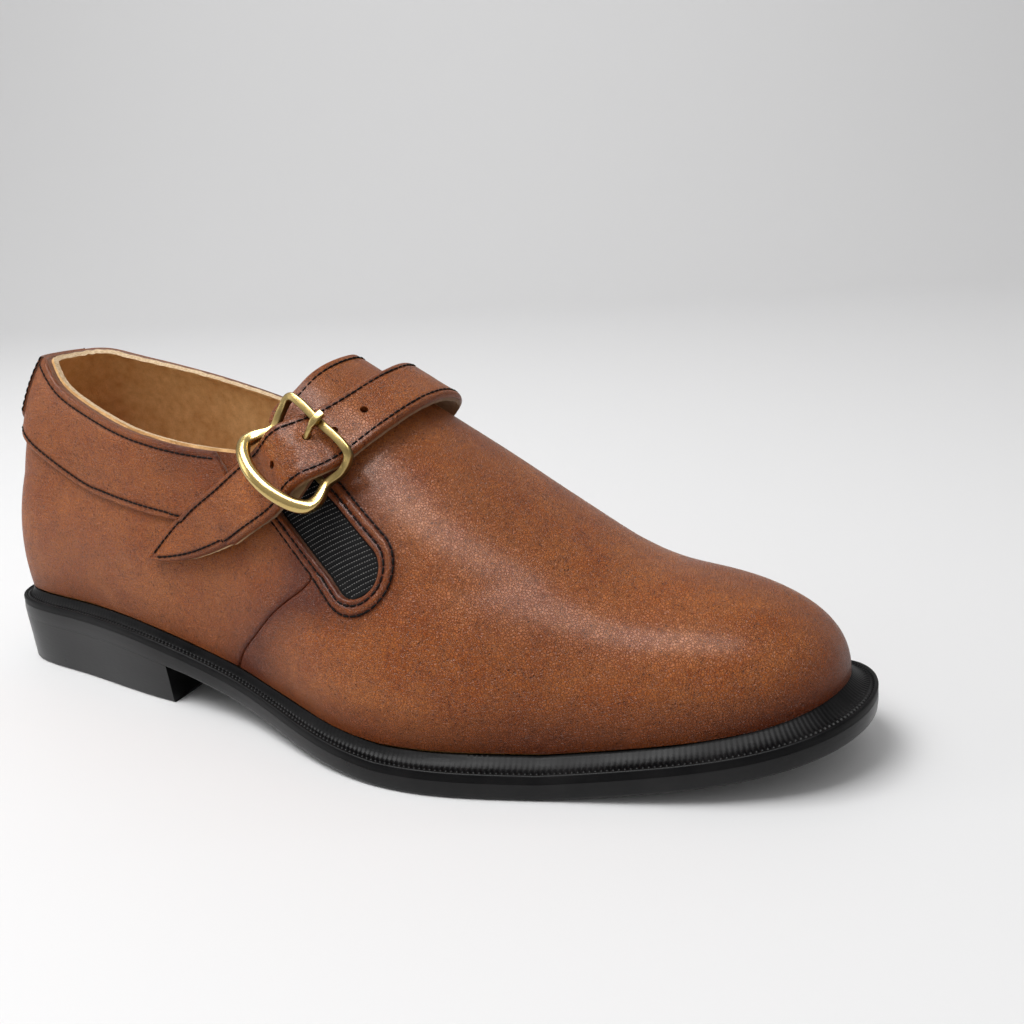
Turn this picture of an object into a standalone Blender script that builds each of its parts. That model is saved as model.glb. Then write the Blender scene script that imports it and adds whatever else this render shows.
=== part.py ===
"""Monk strap shoe for the right foot, standing empty on its sole.

Metres, +Z up, +X towards the toe, +Y to the medial side. The origin is on the floor,
under the centre of the heel's tread. Every piece is worked out from one function, form(),
which is the outside of the upper on its last.
"""
import math

import bmesh
import bpy
import numpy as np
from mathutils import Vector

# Driving sizes of the sole, in metres
SOLE_LENGTH = 0.302
BALL_WIDTH = 0.1085
HEEL_CENTRE = 0.038
HEEL_BREAST = 0.086
HEEL_HEIGHT = 0.0165
TOE_SPRING = 0.0125
OUTSOLE_THICKNESS = 0.0048
WELT_THICKNESS = 0.0024
FEATHER_RISE = 0.0028
TREAD_DIP = 0.0006
EDGE_ROUND = 0.0011
HEEL_TAPER = 0.0012
BREAST_HOLLOW = 0.003

# Driving sizes of the upper, in metres
INSTEP_HEIGHT = 0.0995
SWELL_HEIGHT = 0.042
HEEL_TURN = 0.045
HEEL_TURN_SOFTNESS = 0.008
NOSE_LENGTH = 0.030
LEATHER = 0.0022
OVERLAY = 0.0013
RIM_WIDTH = 0.0046
SLOT_HALF_WIDTH = 0.0072
GORE_TOP = 0.0796
ELASTIC = 0.0009
INSOLE_THICKNESS = 0.0035
INSOLE_SINK = 0.0022
TAB_WIDTH = 0.022
TAB_HEIGHT = 0.024
GAP = 0.0003

# Driving sizes of the strap and the buckle, in metres
STRAP_THICKNESS = 0.0030
HOLE_RADIUS = 0.0012
BAR_RADIUS = 0.0012
D_BAR_RADIUS = 0.0019
BUCKLE_WIDTH = 0.0286
BUCKLE_LENGTH = 0.0232
BUCKLE_TWIST = 17.0
BUCKLE_CORNER = 0.0030
BACK_BAR_RISE = 0.0034
D_BAR_RISE = 0.0066
CHAPE_WIDTH = 0.0138
CHAPE_LENGTH = 0.0098
CHAPE_SLOPE = 0.0018
CHAPE_THICKNESS = 0.0012
PRONG_RADIUS = 0.0009

# Outsole outline: back of the heel, lateral side, toe, medial side.
# along: share of the sole length; across: share of the ball width
OUTLINE = [
    (0.000, 0.000), (0.020, -0.190), (0.123, -0.265), (0.260, -0.330), (0.392, -0.378),
    (0.528, -0.512), (0.640, -0.540), (0.749, -0.460), (0.867, -0.358), (0.963, -0.205),
    (1.000, 0.024), (0.974, 0.245), (0.891, 0.352), (0.782, 0.442), (0.681, 0.460),
    (0.562, 0.380), (0.420, 0.268), (0.270, 0.286), (0.125, 0.299), (0.028, 0.205),
]
# Inset of the upper's lower edge. along: share of the length; inset: share of the ball width
FEATHER_INSET = [
    (0.00, 0.037), (0.10, 0.037), (0.30, 0.032), (0.42, 0.032),
    (0.55, 0.046), (0.70, 0.060), (0.90, 0.064), (1.00, 0.069),
]
# Underside of the outsole. along: share of the length; lift: share of the heel height;
# spring: share of the toe spring; dip: share of the tread dip
UNDERSIDE = [
    (0.00, 1.000, 0.00, 0), (0.12, 0.982, 0.00, 0), (0.25, 0.890, 0.00, 0), (0.35, 0.566, 0.00, 0),
    (0.45, 0.266, 0.00, 0), (0.55, 0.060, 0.00, 0), (0.63, 0.000, 0.00, 1), (0.71, 0.000, 0.00, 1),
    (0.82, 0.000, 0.20, 0), (0.92, 0.000, 0.56, 0), (1.00, 0.000, 1.00, 0),
]
# Sections of the upper. along: share of the length; ridge: share of the instep height;
# lateral and medial: squareness in plan; top: squareness in height; swell: share of the ball width;
# shift: sideways place of the ridge, share of the ball width
SECTIONS = [
    (0.000, 1.200, 2.0, 2.0, 2.0, 0.015, 0.000), (0.150, 1.200, 2.4, 2.4, 2.0, 0.020, 0.000),
    (0.360, 1.200, 3.0, 3.0, 2.0, 0.026, 0.004), (0.460, 1.120, 2.4, 2.4, 2.0, 0.030, 0.010),
    (0.530, 1.000, 2.1, 2.2, 2.0, 0.030, 0.014), (0.600, 0.874, 2.1, 2.2, 2.03, 0.026, 0.018),
    (0.665, 0.746, 2.1, 2.2, 2.07, 0.022, 0.021), (0.730, 0.622, 2.12, 2.2, 2.1, 0.021, 0.024),
    (0.790, 0.530, 2.15, 2.22, 2.13, 0.020, 0.027), (0.855, 0.495, 2.2, 2.24, 2.2, 0.018, 0.028),
    (0.910, 0.463, 2.25, 2.27, 2.27, 0.015, 0.028), (0.955, 0.445, 2.3, 2.3, 2.35, 0.012, 0.028),
]
# Topline and the collar band's lower edge. along: share of the length;
# then heights, shares of the instep height: lateral top, medial top, lateral band, medial band
COLLAR = [
    (0.013, 1.092, 1.092, 0.845, 0.845), (0.036, 1.086, 1.094, 0.820, 0.828), (0.070, 1.055, 1.088, 0.780, 0.800),
    (0.104, 1.012, 1.072, 0.742, 0.775), (0.163, 0.955, 1.040, 0.684, 0.728), (0.228, 0.902, 1.000, 0.652, 0.700),
    (0.283, 0.872, 0.960, 0.634, 0.680), (0.323, 0.858, 0.930, 0.625, 0.670), (0.366, 0.852, 0.895, 0.620, 0.665),
    (0.420, 0.851, 0.865, 0.615, 0.660),
]
# Front end of the collar band. part: share of its height; then shares of the length: lateral, medial
BAND_END = [(0.0, 0.371, 0.352), (0.25, 0.386, 0.368), (0.5, 0.402, 0.392), (0.75, 0.390, 0.382), (1.0, 0.372, 0.364)]
# Centre of the round end of each gore slot. side: along, share of the length; height, share of the instep
SLOT_END = {"lateral": (0.559, 0.573), "medial": (0.556, 0.545)}
# Length of the raised edge along the slot, in metres. side: rear side, front side
RIM_LENGTHS = {"lateral": (0.036, 0.0245), "medial": (0.036, 0.029)}
# Way from that centre up to the topline, seen from the side
SLOT_RUN = (-0.80, 0.60)
# Top end of the tongue. across: -1 at its lateral corner to 1 at the medial one; along: share of the length
TONGUE_END = [
    (-1.0, 0.434), (-0.9, 0.437), (-0.77, 0.449), (-0.56, 0.459), (-0.3, 0.466), (0, 0.4695), (0.23, 0.4675),
    (0.44, 0.460), (0.64, 0.447), (0.8, 0.4365), (0.92, 0.4325), (1.0, 0.434),
]
# Edges of the strap from its seam on the medial quarter to its point on the lateral one.
# along: share of the length; girth: degrees; lift: share of the strap's thickness
STRAP = [
    # upper along, upper girth, lower along, lower girth, lift
    (0.3550, 46.5, 0.4000, 57.5, 0.10), (0.4030, 46.2, 0.4480, 55.9, 0.10), (0.4350, 42.6, 0.4850, 50.5, 0.12),
    (0.4700, 33.6, 0.5230, 40.6, 0.25), (0.5010, 20.5, 0.5580, 24.0, 0.55), (0.5150, 7.0, 0.5690, 7.7, 0.75),
    (0.5150, -7.0, 0.5615, -14.3, 0.65), (0.5050, -20.0, 0.5430, -30.0, 0.50), (0.4860, -31.0, 0.5255, -39.2, 1.14),
    (0.4650, -38.0, 0.5045, -46.0, 2.33), (0.4430, -43.4, 0.4803, -52.6, 0.85), (0.4180, -49.0, 0.4570, -57.8, 0.50),
    (0.3880, -54.8, 0.4270, -62.9, 0.45), (0.3520, -60.6, 0.4020, -66.4, 0.35), (0.3210, -66.2, 0.3560, -70.8, 0.00),
    (0.2950, -71.4, 0.3130, -73.5, -0.30), (0.2830, -73.9, 0.2880, -74.3, -0.38),
]
# Holes in the strap. run: rows of STRAP from its first; across: share from the upper edge
STRAP_HOLES = [(6.78, 0.5), (7.6, 0.5), (9.5, 0.5)]
# Plan of the buckle's frame. run: share of its length from the back bar; width: share of its width
BUCKLE_SIDE = [(0.16, 1.00), (0.30, 0.98), (0.42, 0.91), (0.53, 0.90), (0.65, 1.00), (0.78, 1.05), (0.89, 0.92), (0.96, 0.64)]
# Place of the centre bar: row of STRAP, and share of the buckle's length from the back bar
BAR_ROW = 8.88
CENTRE_BAR = 0.516
# The prong, side view. run: share of the way from the centre bar to the back bar; height: share of its rest height
PRONG = [(0.00, 0.10), (0.20, 0.24), (0.40, 0.47), (0.60, 0.70), (0.80, 0.90), (0.95, 1.00), (1.10, 1.00), (1.22, 0.93)]

HALF_PI = math.pi / 2


def natural_spline(xs, ys):
    """A cubic curve through the points, straight at both ends, as a function."""
    xs = np.asarray(xs, float)
    ys = np.asarray(ys, float)
    count = len(xs)
    step = np.diff(xs)
    matrix = np.zeros((count, count))
    right = np.zeros(count)
    matrix[0, 0] = matrix[-1, -1] = 1
    for i in range(1, count - 1):
        matrix[i, i - 1:i + 2] = step[i - 1], 2 * (step[i - 1] + step[i]), step[i]
        right[i] = 6 * ((ys[i + 1] - ys[i]) / step[i] - (ys[i] - ys[i - 1]) / step[i - 1])
    bend = np.linalg.solve(matrix, right)

    def at(x):
        x = np.clip(np.asarray(x, float), xs[0], xs[-1])
        i = np.clip(np.searchsorted(xs, x) - 1, 0, count - 2)
        before = x - xs[i]
        after = xs[i + 1] - x
        curve = (bend[i] * after ** 3 + bend[i + 1] * before ** 3) / (6 * step[i])
        start = (ys[i] / step[i] - bend[i] * step[i] / 6) * after
        end = (ys[i + 1] / step[i] - bend[i + 1] * step[i] / 6) * before
        return curve + start + end
    return at


def column_spline(table, column, scale=1.0):
    """One column of a table as a smooth function of its first column."""
    rows = np.array(table, float)
    return natural_spline(rows[:, 0], rows[:, column] * scale)


def closed_outline(count=1600):
    """The outsole's outline as points, from the back of the heel round by the lateral side."""
    points = np.array(OUTLINE) * [SOLE_LENGTH, BALL_WIDTH]
    wrapped = np.vstack([points[-4:], points, points[:5]])
    chord = np.linalg.norm(np.diff(wrapped, axis=0), axis=1) ** 0.5
    run = np.concatenate([[0], np.cumsum(chord)])
    spline_x = natural_spline(run, wrapped[:, 0])
    spline_y = natural_spline(run, wrapped[:, 1])
    sample = np.linspace(run[4], run[4 + len(points)], count, endpoint=False)
    return np.stack([spline_x(sample), spline_y(sample)], 1)


OUTER = closed_outline()


def inset_outline(inset):
    """The outline moved inwards. inset: one distance, or one for each point."""
    along = np.roll(OUTER, -1, 0) - np.roll(OUTER, 1, 0)
    inward = np.stack([-along[:, 1], along[:, 0]], 1)
    inward /= np.linalg.norm(inward, axis=1)[:, None]
    return OUTER + inward * (np.zeros(len(OUTER)) + inset)[:, None]


def feather_inset(x):
    rows = np.array(FEATHER_INSET)
    return np.interp(x / SOLE_LENGTH, rows[:, 0], rows[:, 1]) * BALL_WIDTH


def halves(curve):
    """The lateral and the medial half of a closed outline, each from the back to the tip."""
    back = int(curve[:, 0].argmin())
    turned = np.roll(curve, -back, 0)
    tip = int(turned[:, 0].argmax())
    return turned[:tip + 1], np.vstack([turned[tip:], turned[:1]])[::-1]


def stations(count, first=0.0, last=math.pi):
    """Evenly spaced angles from the back of the heel, 0, to the tip of the toe, pi."""
    return np.linspace(first, last, count)


def sides_at(curve, angles):
    """Points of both halves of an outline at the same distance along, as two arrays."""
    lateral, medial = halves(curve)
    x = lateral[0, 0] + (lateral[-1, 0] - lateral[0, 0]) * (1 - np.cos(angles)) / 2
    left = np.interp(x, lateral[:, 0], lateral[:, 1])
    right = np.interp(x, medial[:, 0], medial[:, 1])
    return np.stack([x, left], 1), np.stack([x, right], 1)


def underside(x):
    """Height of the outsole's underside, never below the floor."""
    rows = np.array(UNDERSIDE)
    height = rows[:, 1] * HEEL_HEIGHT + rows[:, 2] * TOE_SPRING - rows[:, 3] * TREAD_DIP
    return np.maximum(natural_spline(rows[:, 0], height)(np.asarray(x) / SOLE_LENGTH), 0)


def welt_base(x):
    return underside(x) + OUTSOLE_THICKNESS + GAP


def feather_height(x):
    return welt_base(x) + WELT_THICKNESS + GAP + FEATHER_RISE


FEATHER = inset_outline(feather_inset(OUTER[:, 0]))
LATERAL_FEATHER, MEDIAL_FEATHER = halves(FEATHER)
BACK = LATERAL_FEATHER[0, 0]
TIP = LATERAL_FEATHER[-1, 0]
TIP_ACROSS = LATERAL_FEATHER[-1, 1]
TIP_HEIGHT = float(feather_height(TIP))
RIDGE = column_spline(SECTIONS, 1, INSTEP_HEIGHT)
SECTION_ROWS = np.array(SECTIONS)


def angle_of(x):
    """The station angle of a distance along the upper's lower edge."""
    return np.arccos(np.clip(1 - 2 * (np.asarray(x, float) - BACK) / (TIP - BACK), -1, 1))


def section_value(x, column):
    return np.interp(x / SOLE_LENGTH, SECTION_ROWS[:, 0], SECTION_ROWS[:, column])


def ridge_height(x):
    """Height of the upper's top line, rounded down over the nose."""
    height = RIDGE(np.minimum(x, SECTION_ROWS[-1, 0] * SOLE_LENGTH) / SOLE_LENGTH)
    nose = np.clip((x - (TIP - NOSE_LENGTH)) / NOSE_LENGTH, 0, 1)
    return TIP_HEIGHT + (height - TIP_HEIGHT) * np.sqrt(1 - nose ** 2.4)


def spine_along(x):
    """Where the section that starts at x on the lower edge meets the ridge: the heel's sections fan out."""
    fan = HEEL_TURN + HEEL_TURN_SOFTNESS * np.logaddexp(0, (x - HEEL_TURN) / HEEL_TURN_SOFTNESS)
    return np.minimum(np.where(x > HEEL_TURN + 0.2 * SOLE_LENGTH, x, fan), TIP)


def section_start(u):
    """Lower edge, ridge place and heights of the sections at the signed angles u."""
    x = BACK + (TIP - BACK) * (1 - np.cos(u)) / 2
    lateral = np.interp(x, LATERAL_FEATHER[:, 0], LATERAL_FEATHER[:, 1])
    medial = np.interp(x, MEDIAL_FEATHER[:, 0], MEDIAL_FEATHER[:, 1])
    y = np.where(u < 0, lateral, medial)
    ridge_x = spine_along(x)
    ridge_y = section_value(ridge_x, 6) * BALL_WIDTH
    nose = np.clip((x - (TIP - NOSE_LENGTH)) / NOSE_LENGTH, 0, 1)
    ridge_y = ridge_y + (TIP_ACROSS - ridge_y) * nose ** 2
    low = feather_height(x)
    return x, y, ridge_x, ridge_y, low, ridge_height(ridge_x) - low


def bare_form(u, rise):
    """The upper's outside. u: -pi to pi round the lower edge; rise: 0 at that edge to pi/2 on the ridge."""
    x, y, ridge_x, ridge_y, low, height = section_start(u)
    plan = np.where(u < 0, section_value(ridge_x, 2), section_value(ridge_x, 3))
    out = np.cos(rise) ** (2 / plan)
    up = height * np.sin(rise) ** (2 / section_value(ridge_x, 4))
    swell = section_value(x, 5) * BALL_WIDTH * np.sin(np.pi * np.clip(up / SWELL_HEIGHT, 0, 1))
    away_x = x - ridge_x
    away_y = y - ridge_y
    reach = np.maximum(np.hypot(away_x, away_y), 1e-6)
    return np.stack([ridge_x + away_x * (out + swell / reach), ridge_y + away_y * (out + swell / reach), low + up], -1)


def form(u, rise, offset=0.0):
    """The upper's outside, moved outwards by offset along its normal, in the sole's own frame."""
    u, rise, offset = np.broadcast_arrays(np.asarray(u, float), np.asarray(rise, float), np.asarray(offset, float))
    side = np.where(u < 0, -1.0, 1.0)
    near_u = np.clip(np.abs(u), 0.02, math.pi - 0.02) * side
    near_rise = np.clip(rise, 0.01, HALF_PI - 0.03)
    small = 1e-3
    round_it = bare_form(near_u + small, near_rise) - bare_form(near_u - small, near_rise)
    up_it = bare_form(near_u, near_rise + small) - bare_form(near_u, near_rise - small)
    normal = np.cross(up_it, round_it)
    normal /= np.maximum(np.linalg.norm(normal, axis=-1), 1e-12)[..., None]
    ridge = np.clip((rise - (HALF_PI - 0.25)) / 0.25, 0, 1)
    middle = np.clip(1 - np.abs(u) / 0.1, 0, 1) + np.clip(1 - (math.pi - np.abs(u)) / 0.1, 0, 1)
    normal[..., 1] *= 1 - np.maximum(ridge ** 2, np.minimum(middle, 1))
    normal /= np.maximum(np.linalg.norm(normal, axis=-1), 1e-12)[..., None]
    return bare_form(u, rise) + normal * offset[..., None]


def rise_at(u, height):
    """The rise at which the section at u reaches a height."""
    x, y, ridge_x, ridge_y, low, tall = section_start(np.asarray(u, float))
    share = np.clip((height - low) / np.maximum(tall, 1e-6), 0, 1)
    return np.arcsin(share ** (section_value(ridge_x, 4) / 2))


def chart(x, girth, offset=0.0):
    """A point of the form by its distance along the lower edge and its girth angle in degrees."""
    x, girth = np.broadcast_arrays(np.asarray(x, float), np.asarray(girth, float))
    side = np.where(girth < 0, -1.0, 1.0)
    return form(angle_of(x) * side, HALF_PI - np.radians(np.abs(girth)), offset)


def clear_scene():
    for old in list(bpy.data.objects):
        bpy.data.objects.remove(old, do_unlink=True)


def material(name, colour, roughness, metallic=0.0):
    made = bpy.data.materials.new(name)
    made.use_nodes = True
    shader = made.node_tree.nodes["Principled BSDF"]
    shader.inputs["Base Color"].default_value = (*colour, 1)
    shader.inputs["Roughness"].default_value = roughness
    shader.inputs["Metallic"].default_value = metallic
    return made


def collection(name):
    made = bpy.data.collections.new(name)
    bpy.context.scene.collection.children.link(made)
    return made


def add_mesh(name, points, faces, home, look=None, weld=1e-5, origin=(-HEEL_CENTRE, 0, 0)):
    """An object from points and faces, moved from the sole's frame to the shoe's origin."""
    mesh = bpy.data.meshes.new(name)
    moved = np.asarray(points, float).reshape(-1, 3) + origin
    mesh.from_pydata(moved.tolist(), [], [tuple(int(i) for i in face) for face in faces])
    tidy = bmesh.new()
    tidy.from_mesh(mesh)
    bmesh.ops.remove_doubles(tidy, verts=tidy.verts, dist=weld)
    bmesh.ops.dissolve_degenerate(tidy, edges=tidy.edges, dist=weld / 2)
    bmesh.ops.recalc_face_normals(tidy, faces=tidy.faces)
    tidy.to_mesh(mesh)
    tidy.free()
    mesh.shade_smooth()
    mesh.set_sharp_from_angle(angle=math.radians(50))
    made = bpy.data.objects.new(name, mesh)
    home.objects.link(made)
    if look:
        mesh.materials.append(look)
    return made


def grid_faces(rows, columns, start=0, close_rows=False, close_columns=False):
    """Quads of a grid of points stored row by row."""
    faces = []
    for r in range(rows if close_rows else rows - 1):
        for c in range(columns if close_columns else columns - 1):
            a = start + r * columns + c
            b = start + r * columns + (c + 1) % columns
            below = start + ((r + 1) % rows) * columns
            faces.append((a, b, below + (c + 1) % columns, below + c))
    return faces


def ring_faces(indices, shift):
    """Quads that join a closed run of points with the same run in the next layer."""
    return [(a, b, b + shift, a + shift) for a, b in zip(indices, indices[1:] + indices[:1])]


def sheet(name, inner, outer, home, look):
    """A closed solid between two grids of points of the same size."""
    rows, columns = inner.shape[:2]
    layer = rows * columns
    points = np.concatenate([inner.reshape(-1, 3), outer.reshape(-1, 3)])
    faces = grid_faces(rows, columns) + grid_faces(rows, columns, layer)
    border = [c for c in range(columns)]
    border += [r * columns + columns - 1 for r in range(1, rows)]
    border += [(rows - 1) * columns + c for c in range(columns - 2, -1, -1)]
    border += [r * columns for r in range(rows - 2, 0, -1)]
    return add_mesh(name, points, faces + ring_faces(border, layer), home, look)


def loft(name, sections, home, look, closed=False):
    """A solid through closed sections. closed: the last section joins the first."""
    rows, columns = sections.shape[:2]
    faces = grid_faces(rows, columns, 0, closed, True)
    if not closed:
        faces += [tuple(range(columns)), tuple(range((rows - 1) * columns, rows * columns))]
    return add_mesh(name, sections, faces, home, look)


def plate(name, levels, angles, home, look):
    """A solid with the sole's outline. levels: (inset, height function) from the bottom up."""
    left = []
    right = []
    for inset, height in levels:
        lateral, medial = sides_at(inset_outline(inset), angles)
        left.append(np.column_stack([lateral, height(lateral[:, 0])]))
        right.append(np.column_stack([medial, height(medial[:, 0])]))
    middle = [(left[0] + right[0]) / 2, (left[-1] + right[-1]) / 2]
    section = left + [middle[1]] + right[::-1] + [middle[0]]
    return loft(name, np.stack(section, 1), home, look)


def make_outsole(home, look):
    top = OUTSOLE_THICKNESS
    levels = [
        (EDGE_ROUND, underside),
        (0.0, lambda x: underside(x) + EDGE_ROUND),
        (0.0, lambda x: underside(x) + top),
    ]
    return plate("outsole", levels, stations(45), home, look)


def make_heel(home, look):
    """The heel block, with a tread on the floor and a slightly hollow breast."""
    angles = stations(15, 0.0, math.acos(1 - 2 * HEEL_BREAST / SOLE_LENGTH))
    levels = [
        (HEEL_TAPER + EDGE_ROUND / 2, lambda x: 0 * x),
        (HEEL_TAPER, lambda x: 0 * x + EDGE_ROUND),
        (GAP, lambda x: underside(x) - GAP),
    ]
    block = plate("heel", levels, angles, home, look)
    breast = HEEL_BREAST - HEEL_CENTRE
    for vertex in block.data.vertices:
        if vertex.co.x > breast - 0.004:
            vertex.co.x -= BREAST_HOLLOW * (1 - min(1, (vertex.co.y / (0.27 * BALL_WIDTH)) ** 2))
    return block


def make_welt(home, look):
    """A strip all round, whose top slopes up to the upper."""
    step = len(OUTER) // 80
    pick = slice(0, None, step)
    feather = feather_inset(OUTER[:, 0])
    rows = []
    parts = [
        (GAP, lambda x: welt_base(x)),
        (GAP, lambda x: welt_base(x) + WELT_THICKNESS),
        (feather - 0.0012, lambda x: feather_height(x) - GAP - 0.0006),
        (feather + LEATHER * 0.8, lambda x: feather_height(x) - GAP),
        (feather + LEATHER * 0.8, lambda x: welt_base(x)),
    ]
    for inset, height in parts:
        curve = inset_outline(inset)[pick]
        rows.append(np.column_stack([curve, height(curve[:, 0])]))
    return loft("welt", np.stack(rows, 1), home, look, closed=True)


def make_insole(home, look):
    inset = feather_inset(OUTER[:, 0]) + LEATHER + 2 * GAP
    levels = [
        (inset, lambda x: welt_base(x)),
        (inset, lambda x: feather_height(x) + INSOLE_THICKNESS - INSOLE_SINK),
    ]
    return plate("insole", levels, stations(37), home, look)


def slot_edge(side, place):
    """A point of a gore slot's edge, seen from the side.

    place: below 0 is the rear edge, in metres from the round end, 0 to 1 is the round end
    from the rear edge to the front one, and above 1 is the front edge, in metres past 1.
    """
    along, tall = SLOT_END[side]
    centre = np.array([along * SOLE_LENGTH, tall * INSTEP_HEIGHT])
    run = np.array(SLOT_RUN)
    front = np.array([SLOT_RUN[1], -SLOT_RUN[0]])
    if place < 0:
        return centre - front * SLOT_HALF_WIDTH - run * place
    if place > 1:
        return centre + front * SLOT_HALF_WIDTH + run * (place - 1)
    turn = (place - 0.5) * math.pi
    return centre + SLOT_HALF_WIDTH * (front * math.sin(turn) - run * math.cos(turn))


SLOT_CORNER = 0.5 + math.atan2(SLOT_RUN[1], -SLOT_RUN[0]) / math.pi


def side_sign(side):
    return -1.0 if side == "lateral" else 1.0


def to_chart(side, points):
    """Points seen from the side, (along, height), as (along, girth)."""
    points = np.asarray(points, float)
    u = angle_of(points[:, 0]) * side_sign(side)
    girth = (HALF_PI - rise_at(u, points[:, 1])) * side_sign(side)
    return np.stack([points[:, 0], np.degrees(girth)], 1)


def collar_height(side, x, column=1):
    """Height of the topline, or of the band's lower edge with column 3, on one side."""
    step = 0 if side == "lateral" else 1
    return column_spline(COLLAR, column + step, INSTEP_HEIGHT)(x / SOLE_LENGTH)


def slot_front_corner(side):
    """How far up the rear edge of the slot the topline crosses it."""
    reach = np.linspace(0.03, 0.09, 241)
    edge = np.array([slot_edge(side, -r) for r in reach])
    over = edge[:, 1] - collar_height(side, edge[:, 0])
    return float(reach[int(np.argmax(over > 0))])


def tongue_corner(side):
    """The tongue's top corner in the chart, and how far up the slot's front edge it is."""
    row = TONGUE_END[0] if side == "lateral" else TONGUE_END[-1]
    x = row[1] * SOLE_LENGTH
    centre = slot_edge(side, 1.0)
    return (x - centre[0]) / SLOT_RUN[0]


def wall_columns(side, heel_count, line_count, bend_count):
    """Top of the quarter and of the lower vamp, as (along, girth), from the heel to the slot's far end."""
    corner = slot_front_corner(side)
    heel_end = slot_edge(side, -corner)[0]
    angles = np.linspace(0, float(angle_of(heel_end)), heel_count)
    x = BACK + (TIP - BACK) * (1 - np.cos(angles)) / 2
    heel = np.stack([x, collar_height(side, x)], 1)
    line = [slot_edge(side, -r) for r in np.linspace(corner, 0, line_count)[1:]]
    bend = [slot_edge(side, p) for p in np.linspace(0, SLOT_CORNER, bend_count + 1)[1:]]
    return to_chart(side, np.vstack([heel, line, bend]))


def tongue_side(side, line_count, bend_count):
    """Edge of the tongue and vamp along the slot, as (along, girth), from the tongue's corner down."""
    corner = tongue_corner(side)
    line = [slot_edge(side, 1 + r) for r in np.linspace(corner, 0, line_count)]
    bend = [slot_edge(side, p) for p in np.linspace(1, SLOT_CORNER, bend_count + 1)[1:]]
    return to_chart(side, np.vstack([line, bend]))


def make_upper(home, look):
    """Quarters, vamp and tongue as one hollow wall, open at the collar, both gore slots and underneath."""
    wall_rows, tongue_rows, toe_count = 9, 17, 16
    line_count, bend_count = 8, 6
    points = []
    faces = []

    def add_grid(chart_grid):
        rows, columns = chart_grid.shape[:2]
        faces.extend(grid_faces(rows, columns, sum(len(p) for p in points)))
        points.append(chart(chart_grid[..., 0], chart_grid[..., 1]).reshape(-1, 3))

    lower = {}
    for side in ("lateral", "medial"):
        top = wall_columns(side, 15, line_count, bend_count)
        lift = np.linspace(0, 1, wall_rows)[None, :]
        girth = side_sign(side) * 90 + (top[:, 1:] - side_sign(side) * 90) * lift
        add_grid(np.stack([np.repeat(top[:, :1], wall_rows, 1), girth], -1))
        lower[side] = top[-1]
    left = tongue_side("lateral", line_count, bend_count)
    right = tongue_side("medial", line_count, bend_count)
    across = np.linspace(0, 1, tongue_rows)
    end_girth = left[0, 1] + (right[0, 1] - left[0, 1]) * across
    end = np.stack([column_spline(TONGUE_END, 1, SOLE_LENGTH)(2 * across - 1), end_girth], 1)
    far = np.stack([left[-1, 0] + (right[-1, 0] - left[-1, 0]) * across,
                    left[-1, 1] + (right[-1, 1] - left[-1, 1]) * across], 1)
    left_share = (left[:, 0] - left[0, 0]) / (left[-1, 0] - left[0, 0])
    right_share = (right[:, 0] - right[0, 0]) / (right[-1, 0] - right[0, 0])
    down = ((left_share + right_share) / 2)[:, None, None]
    cross = across[None, :, None]
    corners = ((1 - down) * ((1 - cross) * end[0] + cross * end[-1])
               + down * ((1 - cross) * far[0] + cross * far[-1]))
    tongue = (1 - cross) * left[:, None] + cross * right[:, None] + (1 - down) * end[None] + down * far[None] - corners
    add_grid(tongue)
    seam = {"lateral": lower["lateral"], "medial": lower["medial"]}
    start = {side: float(angle_of(seam[side][0])) for side in seam}
    share = np.linspace(0, 1, toe_count)
    columns = []
    lift = np.linspace(0, 1, wall_rows)
    girths = np.concatenate([-90 + (seam["lateral"][1] + 90) * lift, far[1:-1, 1],
                             (90 + (seam["medial"][1] - 90) * lift)[::-1]])
    begin = np.concatenate([np.full(wall_rows, start["lateral"]), angle_of(far[1:-1, 0]),
                            np.full(wall_rows, start["medial"])])
    for s in share:
        angle = begin + (math.pi - begin) * s
        x = BACK + (TIP - BACK) * (1 - np.cos(angle)) / 2
        columns.append(np.stack([x, girths], 1))
    add_grid(np.array(columns))
    upper = add_mesh("upper", np.vstack(points), faces, home, look, weld=2e-5)
    wall = upper.modifiers.new("wall", "SOLIDIFY")
    wall.thickness = LEATHER
    wall.offset = -1
    wall.use_rim = True
    return upper


def make_collar_band(home, look):
    """The overlay round the collar, with a step at its lower edge."""
    count, rows = 19, 5
    shares = np.linspace(0, 1, rows)
    ends = np.array(BAND_END)
    grids = []
    for side in ("lateral", "medial"):
        column = 1 if side == "lateral" else 2
        limit = np.interp(shares, ends[:, 0], ends[:, column]) * SOLE_LENGTH
        reach = angle_of(limit)
        angles = np.linspace(0, 1, count)[:, None] * reach[None, :]
        x = BACK + (TIP - BACK) * (1 - np.cos(angles)) / 2
        top = collar_height(side, x)
        bottom = collar_height(side, x, 3)
        height = bottom + (top - bottom) * shares
        u = angles * side_sign(side)
        grids.append((u, rise_at(u + side_sign(side) * 1e-9, height)))
    (left_u, left_rise), (right_u, right_rise) = grids
    u = np.vstack([left_u[::-1], right_u[1:]])
    rise = np.vstack([left_rise[::-1], right_rise[1:]])
    return sheet("collar_band", form(u, rise, GAP), form(u, rise, GAP + OVERLAY), home, look)


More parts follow.
